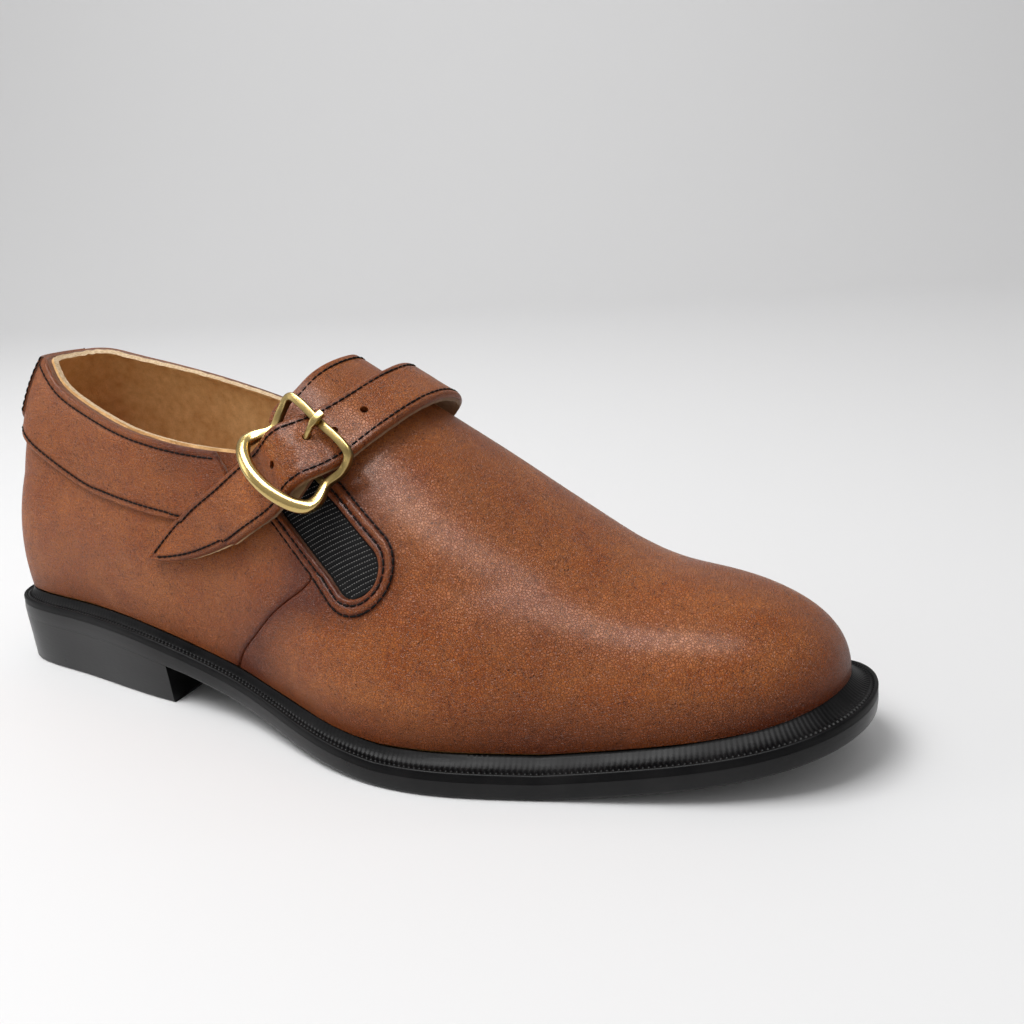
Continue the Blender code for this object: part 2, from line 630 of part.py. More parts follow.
def make_heel_tab(home, look):
    """The small tab over the back seam, on the collar band."""
    half = TAB_WIDTH / 2
    across = np.linspace(-1, 1, 9)
    down = np.linspace(0, 1, 5)
    u = np.repeat((across * angle_of(BACK + 0.0042))[:, None], len(down), 1)
    top = COLLAR[0][1] * INSTEP_HEIGHT - 2 * GAP
    depth = TAB_HEIGHT * (1 - 0.25 * (across[:, None] * half / half) ** 2)
    rise = rise_at(u, top - depth * down[None, :])
    low = 2 * GAP + OVERLAY
    return sheet("heel_tab", form(u, rise, low), form(u, rise, low + OVERLAY * 0.7), home, look)


def slot_run_points(side, gap, length_up):
    """Points round a slot, gap outside its edge: up the rear side, round the end and up the front."""
    along, tall = SLOT_END[side]
    centre = np.array([along * SOLE_LENGTH, tall * INSTEP_HEIGHT])
    run = np.array(SLOT_RUN)
    front = np.array([SLOT_RUN[1], -SLOT_RUN[0]])
    reach = SLOT_HALF_WIDTH + gap
    rear = [centre - front * reach + run * r for r in np.linspace(length_up[0], 0, 7)[:-1]]
    bend = [centre + reach * (front * math.sin(t) - run * math.cos(t)) for t in np.linspace(-HALF_PI, HALF_PI, 11)]
    ahead = [centre + front * reach + run * r for r in np.linspace(0, length_up[1], 7)[1:]]
    return np.array(rear + bend + ahead)


def make_gore_rim(side, home, look):
    """The raised edge round a gore slot."""
    edges = [slot_run_points(side, gap, RIM_LENGTHS[side]) for gap in (GAP, RIM_WIDTH)]
    charts = np.stack([to_chart(side, edge) for edge in edges], 1)
    inner = chart(charts[..., 0], charts[..., 1], GAP)
    outer = chart(charts[..., 0], charts[..., 1], GAP + OVERLAY * 0.8)
    return sheet("gore_rim_" + side, inner, outer, home, look)


def make_gore(side, home, look):
    """The elastic that fills a slot, inside the thickness of the wall."""
    along, tall = SLOT_END[side]
    centre = np.array([along * SOLE_LENGTH, tall * INSTEP_HEIGHT])
    run = np.array(SLOT_RUN)
    front = np.array([SLOT_RUN[1], -SLOT_RUN[0]])
    half = SLOT_HALF_WIDTH - 2 * GAP
    top = (GORE_TOP - centre[1]) / SLOT_RUN[1]
    down = np.concatenate([np.linspace(top, 0.0, 9), -half * np.sin(np.linspace(0.25, 1.42, 6))])
    wide = np.where(down >= 0, half, np.sqrt(np.maximum(half ** 2 - down ** 2, 0)))
    across = np.linspace(-1, 1, 7)
    flat = centre + run * down[:, None, None] + front * (wide[:, None] * across[None, :])[..., None]
    charts = to_chart(side, flat.reshape(-1, 2)).reshape(len(down), len(across), 2)
    deep = -LEATHER * 0.75
    inner = chart(charts[..., 0], charts[..., 1], deep)
    outer = chart(charts[..., 0], charts[..., 1], deep + ELASTIC)
    return sheet("gore_" + side, inner, outer, home, look)


def strap_point(run, across, offset):
    """A point of the strap. run: row number; across: 0 upper edge to 1 lower; offset above its underside."""
    rows = np.array(STRAP)
    number = np.arange(len(rows))
    values = [natural_spline(number, rows[:, column])(run) for column in range(5)]
    x = (values[0] + (values[2] - values[0]) * across) * SOLE_LENGTH
    girth = values[1] + (values[3] - values[1]) * across
    side = np.where(girth < 0, -1.0, 1.0)
    rise = HALF_PI - np.radians(np.abs(girth))
    base = GAP + OVERLAY + values[4] * STRAP_THICKNESS
    return form(angle_of(x) * side, rise, base + offset)


def make_strap(home, look, cutters):
    """The strap from the medial seam over the instep to its point, with its holes."""
    run = np.linspace(0, len(STRAP) - 1, 65)
    across = np.linspace(0, 1, 7)
    grid = np.meshgrid(run, across, indexing="ij")
    inner = strap_point(grid[0], grid[1], 0.0)
    outer = strap_point(grid[0], grid[1], STRAP_THICKNESS)
    strap = sheet("strap", inner, outer, home, look)
    for number, (row, share) in enumerate(STRAP_HOLES):
        low = Vector(strap_point(row, share, -0.002)) - Vector((HEEL_CENTRE, 0, 0))
        high = Vector(strap_point(row, share, STRAP_THICKNESS + 0.002)) - Vector((HEEL_CENTRE, 0, 0))
        bpy.ops.mesh.primitive_cylinder_add(vertices=12, radius=HOLE_RADIUS, depth=(high - low).length)
        punch = bpy.context.object
        punch.name = "strap_punch_%d" % (number + 1)
        punch.location = (low + high) / 2
        punch.rotation_euler = (high - low).to_track_quat("Z", "Y").to_euler()
        hide_cutter(punch, cutters)
        cut = strap.modifiers.new("hole %d" % (number + 1), "BOOLEAN")
        cut.operation = "DIFFERENCE"
        cut.solver = "EXACT"
        cut.object = punch
    return strap


def hide_cutter(cutter, cutters):
    for old in list(cutter.users_collection):
        old.objects.unlink(cutter)
    cutters.objects.link(cutter)
    cutter.hide_render = True
    cutter.display_type = "WIRE"


def buckle_axes():
    """Centre of the centre bar, and the buckle's axes: run from the back bar to the D, across it, and out."""
    under = strap_point(BAR_ROW, 0.5, 0.0)
    out = strap_point(BAR_ROW, 0.5, 0.001) - under
    out /= np.linalg.norm(out)
    run = strap_point(BAR_ROW + 2, 0.5, 0.0) - strap_point(BAR_ROW - 1.5, 0.5, 0.0)
    run -= out * run.dot(out)
    run /= np.linalg.norm(run)
    twist = math.radians(BUCKLE_TWIST)
    run = run * math.cos(twist) + np.cross(out, run) * math.sin(twist)
    depth = 4 * GAP + CHAPE_THICKNESS + BAR_RADIUS
    return under - out * depth, run, np.cross(out, run), out


def buckle_point(run, across, out):
    centre, along, side, up = buckle_axes()
    return centre + along * run + side * across + up * out


def frame_rise(share):
    """Height of the frame above the centre bar's level. share: of its length, from the back bar."""
    rise = BACK_BAR_RISE * (share - CENTRE_BAR) * (share - 1) / (CENTRE_BAR * 1)
    return rise + D_BAR_RISE * share * (share - CENTRE_BAR) / (1 - CENTRE_BAR)


def tube(name, path, radii, home, look, closed=False, sides=10):
    """A round bar along a path of points, with a radius for each."""
    path = np.asarray(path, float)
    count = len(path)
    if closed:
        ahead = np.roll(path, -1, 0) - np.roll(path, 1, 0)
    else:
        ahead = np.gradient(path, axis=0)
    ahead /= np.linalg.norm(ahead, axis=1)[:, None]
    up = buckle_axes()[3]
    side = np.cross(ahead, up)
    side /= np.linalg.norm(side, axis=1)[:, None]
    top = np.cross(side, ahead)
    turn = np.linspace(0, 2 * math.pi, sides, endpoint=False)
    ring = side[:, None] * np.cos(turn)[None, :, None] + top[:, None] * np.sin(turn)[None, :, None]
    sections = path[:, None] + ring * (np.zeros(count) + radii)[:, None, None]
    return loft(name, sections, home, look, closed)


def buckle_outline():
    """The middle line of the frame in its own plane: back bar, one side, the D, the other side."""
    half = BUCKLE_WIDTH / 2
    start = -BUCKLE_LENGTH * CENTRE_BAR
    corner = BUCKLE_CORNER
    side = [(start, 0.0), (start, half - corner)]
    for turn in np.radians([30, 60, 90]):
        side.append((start + corner * (1 - math.cos(turn)), half - corner + corner * math.sin(turn)))
    spline = column_spline(BUCKLE_SIDE, 1, half)
    for share in np.linspace(BUCKLE_SIDE[0][0], BUCKLE_SIDE[-1][0], 12)[1:]:
        side.append((start + BUCKLE_LENGTH * share, float(spline(share))))
    side.append((start + BUCKLE_LENGTH, 0.30 * half))
    points = side + [(start + BUCKLE_LENGTH * 1.01, 0.0)] + [(run, -across) for run, across in side[:0:-1]]
    return np.array(points)


def make_buckle_frame(home, look, cutters):
    """A closed frame that is thick at the D, with the centre bar fused to its sides."""
    plan = buckle_outline()
    start = plan[0, 0]
    share = (plan[:, 0] - start) / BUCKLE_LENGTH
    radii = BAR_RADIUS + (D_BAR_RADIUS - BAR_RADIUS) * np.clip((share - 0.5) / 0.4, 0, 1)
    path = [buckle_point(run, across, frame_rise(part)) for (run, across), part in zip(plan, share)]
    frame = tube("buckle_frame", path, radii, home, look, closed=True)
    waist = float(column_spline(BUCKLE_SIDE, 1, BUCKLE_WIDTH / 2)(CENTRE_BAR))
    ends = [buckle_point(0, across, 0) for across in np.linspace(-waist, waist, 5)]
    bar = tube("buckle_centre_bar", ends, BAR_RADIUS * 0.9, cutters, look)
    bar.hide_render = True
    bar.display_type = "WIRE"
    join = frame.modifiers.new("centre bar", "BOOLEAN")
    join.operation = "UNION"
    join.solver = "EXACT"
    join.object = bar
    return frame


def make_chape(home, look):
    """The short strap that holds the buckle: it lies on the quarter and turns round the centre bar."""
    turn_radius = BAR_RADIUS + GAP
    layers = []
    for radius in (turn_radius, turn_radius + CHAPE_THICKNESS):
        turn = [(-radius * math.sin(t), -radius * math.cos(t)) for t in np.linspace(0, 1.35 * math.pi, 12)]
        lying = [(CHAPE_LENGTH * part, -radius - CHAPE_SLOPE * part) for part in (1.0, 0.75, 0.5, 0.25)]
        layers.append(lying + turn)
    section = layers[0] + layers[1][::-1]
    across = np.linspace(-CHAPE_WIDTH / 2, CHAPE_WIDTH / 2, 5)
    rows = [[buckle_point(run, side, out) for run, out in section] for side in across]
    return loft("buckle_chape", np.array(rows), home, look)


def prong_path(first, count=14):
    """The prong's middle line over the back bar, from a distance ahead of the centre bar's middle."""
    way = BUCKLE_LENGTH * CENTRE_BAR
    rest = BACK_BAR_RISE + BAR_RADIUS + PRONG_RADIUS + GAP
    height = column_spline(PRONG, 1, rest)
    shares = np.linspace(first / way, PRONG[-1][0], count)
    return [buckle_point(-way * share, 0.0, float(height(share))) for share in shares]


def make_prong(home, look, strap, chape, cutters):
    """The prong, from the centre bar through the chape and the strap's hole to the top of the back bar."""
    start = BAR_RADIUS + PRONG_RADIUS + GAP
    prong = tube("buckle_prong", prong_path(start), PRONG_RADIUS, home, look, sides=8)
    punch = tube("prong_punch", prong_path(0.0), PRONG_RADIUS + GAP, cutters, look, sides=8)
    punch.hide_render = True
    punch.display_type = "WIRE"
    slot = chape.modifiers.new("prong slot", "BOOLEAN")
    slot.operation = "DIFFERENCE"
    slot.solver = "EXACT"
    slot.object = punch
    cut = strap.modifiers.new("prong hole", "BOOLEAN")
    cut.operation = "DIFFERENCE"
    cut.solver = "EXACT"
    cut.object = punch
    return prong


def main():
    clear_scene()
    shoe = collection("monk_strap_shoe")
    cutters = collection("cutters")
    leather = (0.30, 0.115, 0.045)
    make_outsole(shoe, material("outsole_black", (0.012, 0.012, 0.013), 0.38))
    make_heel(shoe, material("heel_black", (0.012, 0.012, 0.013), 0.38))
    make_welt(shoe, material("welt_black", (0.018, 0.016, 0.016), 0.42))
    make_insole(shoe, material("insole_leather", (0.45, 0.27, 0.13), 0.75))
    make_upper(shoe, material("upper_leather", leather, 0.42))
    make_collar_band(shoe, material("band_leather", leather, 0.42))
    make_heel_tab(shoe, material("tab_leather", leather, 0.42))
    for side in ("lateral", "medial"):
        make_gore(side, shoe, material("gore_elastic_" + side, (0.015, 0.015, 0.018), 0.8))
        make_gore_rim(side, shoe, material("rim_leather_" + side, leather, 0.42))
    strap = make_strap(shoe, material("strap_leather", leather, 0.42), cutters)
    chape = make_chape(shoe, material("chape_leather", leather, 0.42))
    brass = (0.42, 0.31, 0.13)
    make_buckle_frame(shoe, material("buckle_brass", brass, 0.35, 1.0), cutters)
    make_prong(shoe, material("prong_brass", brass, 0.35, 1.0), strap, chape, cutters)


main()
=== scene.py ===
# %% [markdown]
# # A monk strap shoe
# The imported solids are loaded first. They give the places of everything: each piece below
# is a finer surface worked out from the same sizes, and stands where its solid stands.

# %% Load the solids
import math

import bpy
import numpy as np
from mathutils import Matrix, Vector


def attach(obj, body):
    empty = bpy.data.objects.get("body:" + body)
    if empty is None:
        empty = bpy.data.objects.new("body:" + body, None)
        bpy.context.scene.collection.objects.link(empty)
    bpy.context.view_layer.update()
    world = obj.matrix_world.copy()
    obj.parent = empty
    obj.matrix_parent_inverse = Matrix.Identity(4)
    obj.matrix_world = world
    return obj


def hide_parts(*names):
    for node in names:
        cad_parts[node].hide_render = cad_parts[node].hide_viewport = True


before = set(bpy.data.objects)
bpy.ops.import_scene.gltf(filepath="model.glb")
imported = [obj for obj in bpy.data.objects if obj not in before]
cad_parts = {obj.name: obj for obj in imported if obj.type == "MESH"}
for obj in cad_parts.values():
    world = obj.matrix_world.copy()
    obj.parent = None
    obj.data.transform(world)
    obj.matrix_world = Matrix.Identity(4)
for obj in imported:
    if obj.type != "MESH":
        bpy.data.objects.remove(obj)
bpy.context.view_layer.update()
print("solids:", sorted(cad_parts))

# %% [markdown]
# ## Sizes
# A shoe is drawn from few sizes: the sole's length, the width at the ball, the height of the
# instep and the leather's thickness. Every other length below is a share of one of them, so
# the pieces keep fitting each other. The numbers are those of the solids.

# %% Sizes of the sole and the upper, in metres
SOLE_LENGTH = 0.302
BALL_WIDTH = 0.1085
HEEL_CENTRE = 0.038
HEEL_BREAST = 0.086
HEEL_HEIGHT = 0.0165
TOE_SPRING = 0.0125
OUTSOLE_THICKNESS = 0.0048
WELT_THICKNESS = 0.0024
FEATHER_RISE = 0.0028
TREAD_DIP = 0.0006
EDGE_ROUND = 0.0011
HEEL_TAPER = 0.0012
BREAST_HOLLOW = 0.003
INSTEP_HEIGHT = 0.0995
SWELL_HEIGHT = 0.042
HEEL_TURN = 0.045
HEEL_TURN_SOFTNESS = 0.008
NOSE_LENGTH = 0.030
LEATHER = 0.0022
OVERLAY = 0.0013
RIM_WIDTH = 0.0046
SLOT_HALF_WIDTH = 0.0072
GORE_TOP = 0.0796
INSOLE_THICKNESS = 0.0035
INSOLE_SINK = 0.0022
TAB_WIDTH = 0.022
TAB_HEIGHT = 0.024
GAP = 0.0003
HALF_PI = math.pi / 2

# %% Sizes of the strap and the buckle, in metres
STRAP_THICKNESS = 0.0030
HOLE_RADIUS = 0.0012
BAR_RADIUS = 0.0012
D_BAR_RADIUS = 0.0019
BUCKLE_WIDTH = 0.0286
BUCKLE_LENGTH = 0.0232
BUCKLE_TWIST = 17.0
BUCKLE_CORNER = 0.0030
BACK_BAR_RISE = 0.0034
D_BAR_RISE = 0.0066
CHAPE_WIDTH = 0.0138
CHAPE_LENGTH = 0.0098
CHAPE_SLOPE = 0.0018
CHAPE_THICKNESS = 0.0012
PRONG_RADIUS = 0.0009

# %% Tables: lengths are shares of the sizes above
OUTLINE = [
    (0.000, 0.000), (0.020, -0.190), (0.123, -0.265), (0.260, -0.330), (0.392, -0.378),
    (0.528, -0.512), (0.640, -0.540), (0.749, -0.460), (0.867, -0.358), (0.963, -0.205),
    (1.000, 0.024), (0.974, 0.245), (0.891, 0.352), (0.782, 0.442), (0.681, 0.460),
    (0.562, 0.380), (0.420, 0.268), (0.270, 0.286), (0.125, 0.299), (0.028, 0.205),
]
FEATHER_INSET = [
    (0.00, 0.037), (0.10, 0.037), (0.30, 0.032), (0.42, 0.032),
    (0.55, 0.046), (0.70, 0.060), (0.90, 0.064), (1.00, 0.069),
]
# along, then shares of the heel height, the toe spring and the tread dip
UNDERSIDE = [
    (0.00, 1.000, 0.00, 0), (0.12, 0.982, 0.00, 0), (0.25, 0.890, 0.00, 0), (0.35, 0.566, 0.00, 0),
    (0.45, 0.266, 0.00, 0), (0.55, 0.060, 0.00, 0), (0.63, 0.000, 0.00, 1), (0.71, 0.000, 0.00, 1),
    (0.82, 0.000, 0.20, 0), (0.92, 0.000, 0.56, 0), (1.00, 0.000, 1.00, 0),
]
# along, ridge height, squareness in plan (lateral, medial), squareness in height, swell, shift
SECTIONS = [
    (0.000, 1.200, 2.0, 2.0, 2.0, 0.015, 0.000), (0.150, 1.200, 2.4, 2.4, 2.0, 0.020, 0.000),
    (0.360, 1.200, 3.0, 3.0, 2.0, 0.026, 0.004), (0.460, 1.120, 2.4, 2.4, 2.0, 0.030, 0.010),
    (0.530, 1.000, 2.1, 2.2, 2.0, 0.030, 0.014), (0.600, 0.874, 2.1, 2.2, 2.03, 0.026, 0.018),
    (0.665, 0.746, 2.1, 2.2, 2.07, 0.022, 0.021), (0.730, 0.622, 2.12, 2.2, 2.1, 0.021, 0.024),
    (0.790, 0.530, 2.15, 2.22, 2.13, 0.020, 0.027), (0.855, 0.495, 2.2, 2.24, 2.2, 0.018, 0.028),
    (0.910, 0.463, 2.25, 2.27, 2.27, 0.015, 0.028), (0.955, 0.445, 2.3, 2.3, 2.35, 0.012, 0.028),
]
# along, heights: lateral top, medial top, lateral band, medial band
COLLAR = [
    (0.013, 1.092, 1.092, 0.845, 0.845), (0.036, 1.086, 1.094, 0.820, 0.828),
    (0.070, 1.055, 1.088, 0.780, 0.800),
    (0.104, 1.012, 1.072, 0.742, 0.775), (0.163, 0.955, 1.040, 0.684, 0.728),
    (0.228, 0.902, 1.000, 0.652, 0.700),
    (0.283, 0.872, 0.960, 0.634, 0.680), (0.323, 0.858, 0.930, 0.625, 0.670),
    (0.366, 0.852, 0.895, 0.620, 0.665),
    (0.420, 0.851, 0.865, 0.615, 0.660),
]
BAND_END = [(0.0, 0.371, 0.352), (0.25, 0.386, 0.368), (0.5, 0.402, 0.392), (0.75, 0.390, 0.382),
            (1.0, 0.372, 0.364)]
SLOT_END = {"lateral": (0.559, 0.573), "medial": (0.556, 0.545)}
RIM_LENGTHS = {"lateral": (0.036, 0.0245), "medial": (0.036, 0.029)}
SLOT_RUN = np.array([-0.80, 0.60])
SLOT_FRONT = np.array([0.60, 0.80])
TONGUE_END = [
    (-1.0, 0.434), (-0.9, 0.437), (-0.77, 0.449), (-0.56, 0.459), (-0.3, 0.466), (0, 0.4695), (0.23, 0.4675),
    (0.44, 0.460), (0.64, 0.447), (0.8, 0.4365), (0.92, 0.4325), (1.0, 0.434),
]
# upper along, upper girth, lower along, lower girth, lift
STRAP = [
    (0.3550, 46.5, 0.4000, 57.5, 0.10), (0.4030, 46.2, 0.4480, 55.9, 0.10),
    (0.4350, 42.6, 0.4850, 50.5, 0.12),
    (0.4700, 33.6, 0.5230, 40.6, 0.25), (0.5010, 20.5, 0.5580, 24.0, 0.55), (0.5150, 7.0, 0.5690, 7.7, 0.75),
    (0.5150, -7.0, 0.5615, -14.3, 0.65), (0.5050, -20.0, 0.5430, -30.0, 0.50),
    (0.4860, -31.0, 0.5255, -39.2, 1.14),
    (0.4650, -38.0, 0.5045, -46.0, 2.33), (0.4430, -43.4, 0.4803, -52.6, 0.85),
    (0.4180, -49.0, 0.4570, -57.8, 0.50),
    (0.3880, -54.8, 0.4270, -62.9, 0.45), (0.3520, -60.6, 0.4020, -66.4, 0.35),
    (0.3210, -66.2, 0.3560, -70.8, 0.00),
    (0.2950, -71.4, 0.3130, -73.5, -0.30), (0.2830, -73.9, 0.2880, -74.3, -0.38),
]
STRAP_HOLES = [(6.78, 0.5), (7.6, 0.5), (9.5, 0.5)]
BUCKLE_SIDE = [(0.16, 1.00), (0.30, 0.98), (0.42, 0.91), (0.53, 0.90), (0.65, 1.00), (0.78, 1.05),
               (0.89, 0.92), (0.96, 0.64)]
BAR_ROW = 8.88
CENTRE_BAR = 0.516
PRONG = [(0.00, 0.10), (0.20, 0.24), (0.40, 0.47), (0.60, 0.70), (0.80, 0.90), (0.95, 1.00), (1.10, 1.00),
         (1.22, 0.93)]

# %% [markdown]
# ## Smooth curves and the sole's outline
# A natural cubic spline turns a short table into a smooth curve. The sole's outline is one
# such curve that closes on itself, and everything else hangs from it: the welt and the upper's
# lower edge, called the feather, are the same outline moved inwards.


# %% Curves through tables
def natural_spline(xs, ys):
    """A cubic through the points, straight at both ends: solve for the second derivatives, then blend."""
    xs, ys = np.asarray(xs, float), np.asarray(ys, float)
    count, step = len(xs), np.diff(xs)
    matrix, right = np.eye(count), np.zeros(count)
    for i in range(1, count - 1):
        matrix[i, i - 1:i + 2] = step[i - 1], 2 * (step[i - 1] + step[i]), step[i]
        right[i] = 6 * ((ys[i + 1] - ys[i]) / step[i] - (ys[i] - ys[i - 1]) / step[i - 1])
    bend = np.linalg.solve(matrix, right)

    def at(x):
        x = np.clip(np.asarray(x, float), xs[0], xs[-1])
        i = np.clip(np.searchsorted(xs, x) - 1, 0, count - 2)
        before, after = x - xs[i], xs[i + 1] - x
        curve = (bend[i] * after ** 3 + bend[i + 1] * before ** 3) / (6 * step[i])
        start = (ys[i] / step[i] - bend[i] * step[i] / 6) * after
        end = (ys[i + 1] / step[i] - bend[i + 1] * step[i] / 6) * before
        return curve + start + end
    return at


def column_spline(table, column, scale=1.0):
    """A spline over one column of a table, against its first column."""
    rows = np.array(table, float)
    return natural_spline(rows[:, 0], rows[:, column] * scale)


def chord_run(path, power=1.0):
    """Distance along a run of points: the chords, each to a power, added up from 0."""
    return np.concatenate([[0], np.cumsum(np.linalg.norm(np.diff(path, axis=0), axis=1) ** power)])


def closed_spline(points, count, power=1.0):
    """A spline over the chord run, with points wrapped round at both ends so that it closes smoothly."""
    wrapped = np.vstack([points[-4:], points, points[:5]])
    run = chord_run(wrapped, power)
    sample = np.linspace(run[4], run[4 + len(points)], count, endpoint=False)
    return np.stack([natural_spline(run, wrapped[:, k])(sample) for k in (0, 1)], 1)


def closed_outline(count=1600):
    """The outsole's outline, over the square root of the chord, which keeps it calm between uneven points."""
    return closed_spline(np.array(OUTLINE) * [SOLE_LENGTH, BALL_WIDTH], count, 0.5)


OUTER = closed_outline()


def inset_outline(inset, base=None):
    """The outline moved inwards along its own normal by inset."""
    base = OUTER if base is None else base
    along = np.roll(base, -1, 0) - np.roll(base, 1, 0)
    inward = np.stack([-along[:, 1], along[:, 0]], 1)
    inward /= np.linalg.norm(inward, axis=1)[:, None]
    return base + inward * (np.zeros(len(base)) + inset)[:, None]


def feather_inset(x):
    """How far the upper's lower edge stands inside the sole's outline."""
    rows = np.array(FEATHER_INSET)
    return np.interp(x / SOLE_LENGTH, rows[:, 0], rows[:, 1]) * BALL_WIDTH


def halves(curve):
    """The lateral and the medial half of a closed outline, each from the back to the tip."""
    turned = np.roll(curve, -int(curve[:, 0].argmin()), 0)
    tip = int(turned[:, 0].argmax())
    return turned[:tip + 1], np.vstack([turned[tip:], turned[:1]])[::-1]


def sides_at(curve, angles):
    """Points of both halves at the same distances along: x goes with 1 - cos(angle)."""
    lateral, medial = halves(curve)
    x = lateral[0, 0] + (lateral[-1, 0] - lateral[0, 0]) * (1 - np.cos(angles)) / 2
    return [np.stack([x, np.interp(x, half[:, 0], half[:, 1])], 1) for half in (lateral, medial)]


def underside(x):
    """Height of the outsole's lower face over the ground: the heel's arch, the tread and the toe's spring."""
    rows = np.array(UNDERSIDE)
    height = rows[:, 1] * HEEL_HEIGHT + rows[:, 2] * TOE_SPRING - rows[:, 3] * TREAD_DIP
    return np.maximum(natural_spline(rows[:, 0], height)(np.asarray(x) / SOLE_LENGTH), 0)


def welt_base(x):
    """Height of the outsole's top, where the welt lies."""
    return underside(x) + OUTSOLE_THICKNESS + GAP


def feather_height(x):
    """Height of the upper's lower edge."""
    return welt_base(x) + WELT_THICKNESS + GAP + FEATHER_RISE


print("outline length %.0f mm" % (1000 * np.linalg.norm(np.diff(OUTER, axis=0), axis=1).sum()))

# %% [markdown]
# ## The form of the upper
# A shoemaker stretches the upper over a last. Here the last is a function of two numbers: where
# the section starts on the lower edge, and how far up it we are. Its sections are rounded
# arches whose squareness changes along the foot, and at the heel they fan out. Asking this one
# function for points keeps the leather, its overlays and its stitches in step.

# %% The last as a function
FEATHER = inset_outline(feather_inset(OUTER[:, 0]))
LATERAL_FEATHER, MEDIAL_FEATHER = halves(FEATHER)
BACK, TIP, TIP_ACROSS = LATERAL_FEATHER[0, 0], LATERAL_FEATHER[-1, 0], LATERAL_FEATHER[-1, 1]
TIP_HEIGHT = float(feather_height(TIP))
RIDGE = column_spline(SECTIONS, 1, INSTEP_HEIGHT)
SECTION_ROWS = np.array(SECTIONS)


def angle_of(x):
    """The station angle of a distance along: its cosine goes from 1 at the back to -1 at the tip."""
    return np.arccos(np.clip(1 - 2 * (np.asarray(x, float) - BACK) / (TIP - BACK), -1, 1))


def along_of(angle):
    """The distance along of a station angle."""
    return BACK + (TIP - BACK) * (1 - np.cos(angle)) / 2


def section_value(x, column):
    """A column of SECTIONS, by straight steps between its rows."""
    return np.interp(x / SOLE_LENGTH, SECTION_ROWS[:, 0], SECTION_ROWS[:, column])


def ridge_height(x):
    """Height of the upper's middle line; over the nose it falls as the root of 1 - share to the 2.4."""
    height = RIDGE(np.minimum(x, SECTION_ROWS[-1, 0] * SOLE_LENGTH) / SOLE_LENGTH)
    nose = np.clip((x - (TIP - NOSE_LENGTH)) / NOSE_LENGTH, 0, 1)
    return TIP_HEIGHT + (height - TIP_HEIGHT) * np.sqrt(1 - nose ** 2.4)


def spine_along(x):
    """Where a section's top stands: a softened bend, log(1 + e^x), keeps the heel's tops close together."""
    fan = HEEL_TURN + HEEL_TURN_SOFTNESS * np.logaddexp(0, (x - HEEL_TURN) / HEEL_TURN_SOFTNESS)
    return np.minimum(np.where(x > HEEL_TURN + 0.2 * SOLE_LENGTH, x, fan), TIP)


def section_start(u):
    """Lower edge, place of the ridge and heights of the sections at the signed angles u."""
    x = along_of(u)
    lateral = np.interp(x, LATERAL_FEATHER[:, 0], LATERAL_FEATHER[:, 1])
    medial = np.interp(x, MEDIAL_FEATHER[:, 0], MEDIAL_FEATHER[:, 1])
    y = np.where(u < 0, lateral, medial)
    ridge_x = spine_along(x)
    ridge_y = section_value(ridge_x, 6) * BALL_WIDTH
    nose = np.clip((x - (TIP - NOSE_LENGTH)) / NOSE_LENGTH, 0, 1)
    ridge_y = ridge_y + (TIP_ACROSS - ridge_y) * nose ** 2
    low = feather_height(x)
    return x, y, ridge_x, ridge_y, low, ridge_height(ridge_x) - low


def bare_form(u, rise):
    """An arch: out goes with cos(rise) to the power 2/plan, up with sin(rise) to 2/top, plus a swell."""
    x, y, ridge_x, ridge_y, low, height = section_start(u)
    plan = np.where(u < 0, section_value(ridge_x, 2), section_value(ridge_x, 3))
    out = np.maximum(np.cos(rise), 0) ** (2 / plan)
    up = height * np.maximum(np.sin(rise), 0) ** (2 / section_value(ridge_x, 4))
    swell = section_value(x, 5) * BALL_WIDTH * np.sin(np.pi * np.clip(up / SWELL_HEIGHT, 0, 1))
    away_x, away_y = x - ridge_x, y - ridge_y
    reach = np.maximum(np.hypot(away_x, away_y), 1e-6)
    return np.stack([ridge_x + away_x * (out + swell / reach), ridge_y + away_y * (out + swell / reach),
                     low + up], -1)


def form(u, rise, offset=0.0):
    """The arch moved outwards by offset along its normal, the cross product of its two tangents."""
    u, rise, offset = np.broadcast_arrays(np.asarray(u, float), np.asarray(rise, float),
                                          np.asarray(offset, float))
    side = np.where(u < 0, -1.0, 1.0)
    near_u = np.clip(np.abs(u), 0.04, math.pi - 0.04) * side
    near_rise = np.clip(rise, 0.01, HALF_PI - 0.03)
    small, wide = 1e-3, 0.03
    round_it = bare_form(near_u + wide, near_rise) - bare_form(near_u - wide, near_rise)
    up_it = bare_form(near_u, near_rise + small) - bare_form(near_u, near_rise - small)
    normal = np.cross(up_it, round_it)
    normal /= np.maximum(np.linalg.norm(normal, axis=-1), 1e-12)[..., None]
    ridge = np.clip((rise - (HALF_PI - 0.25)) / 0.25, 0, 1)
    middle = np.clip(1 - np.abs(u) / 0.1, 0, 1) + np.clip(1 - (math.pi - np.abs(u)) / 0.1, 0, 1)
    normal[..., 1] *= 1 - np.maximum(ridge ** 2, np.minimum(middle, 1))
    normal /= np.maximum(np.linalg.norm(normal, axis=-1), 1e-12)[..., None]
    return bare_form(u, rise) + normal * offset[..., None] - [HEEL_CENTRE, 0, 0]


def rise_at(u, height):
    """How far up an arch, in radians, a height lies: the inverse of the arch's own power of sin."""
    _, _, ridge_x, _, low, tall = section_start(np.asarray(u, float))
    share = np.clip((height - low) / np.maximum(tall, 1e-6), 0, 1)
    return np.arcsin(share ** (section_value(ridge_x, 4) / 2))


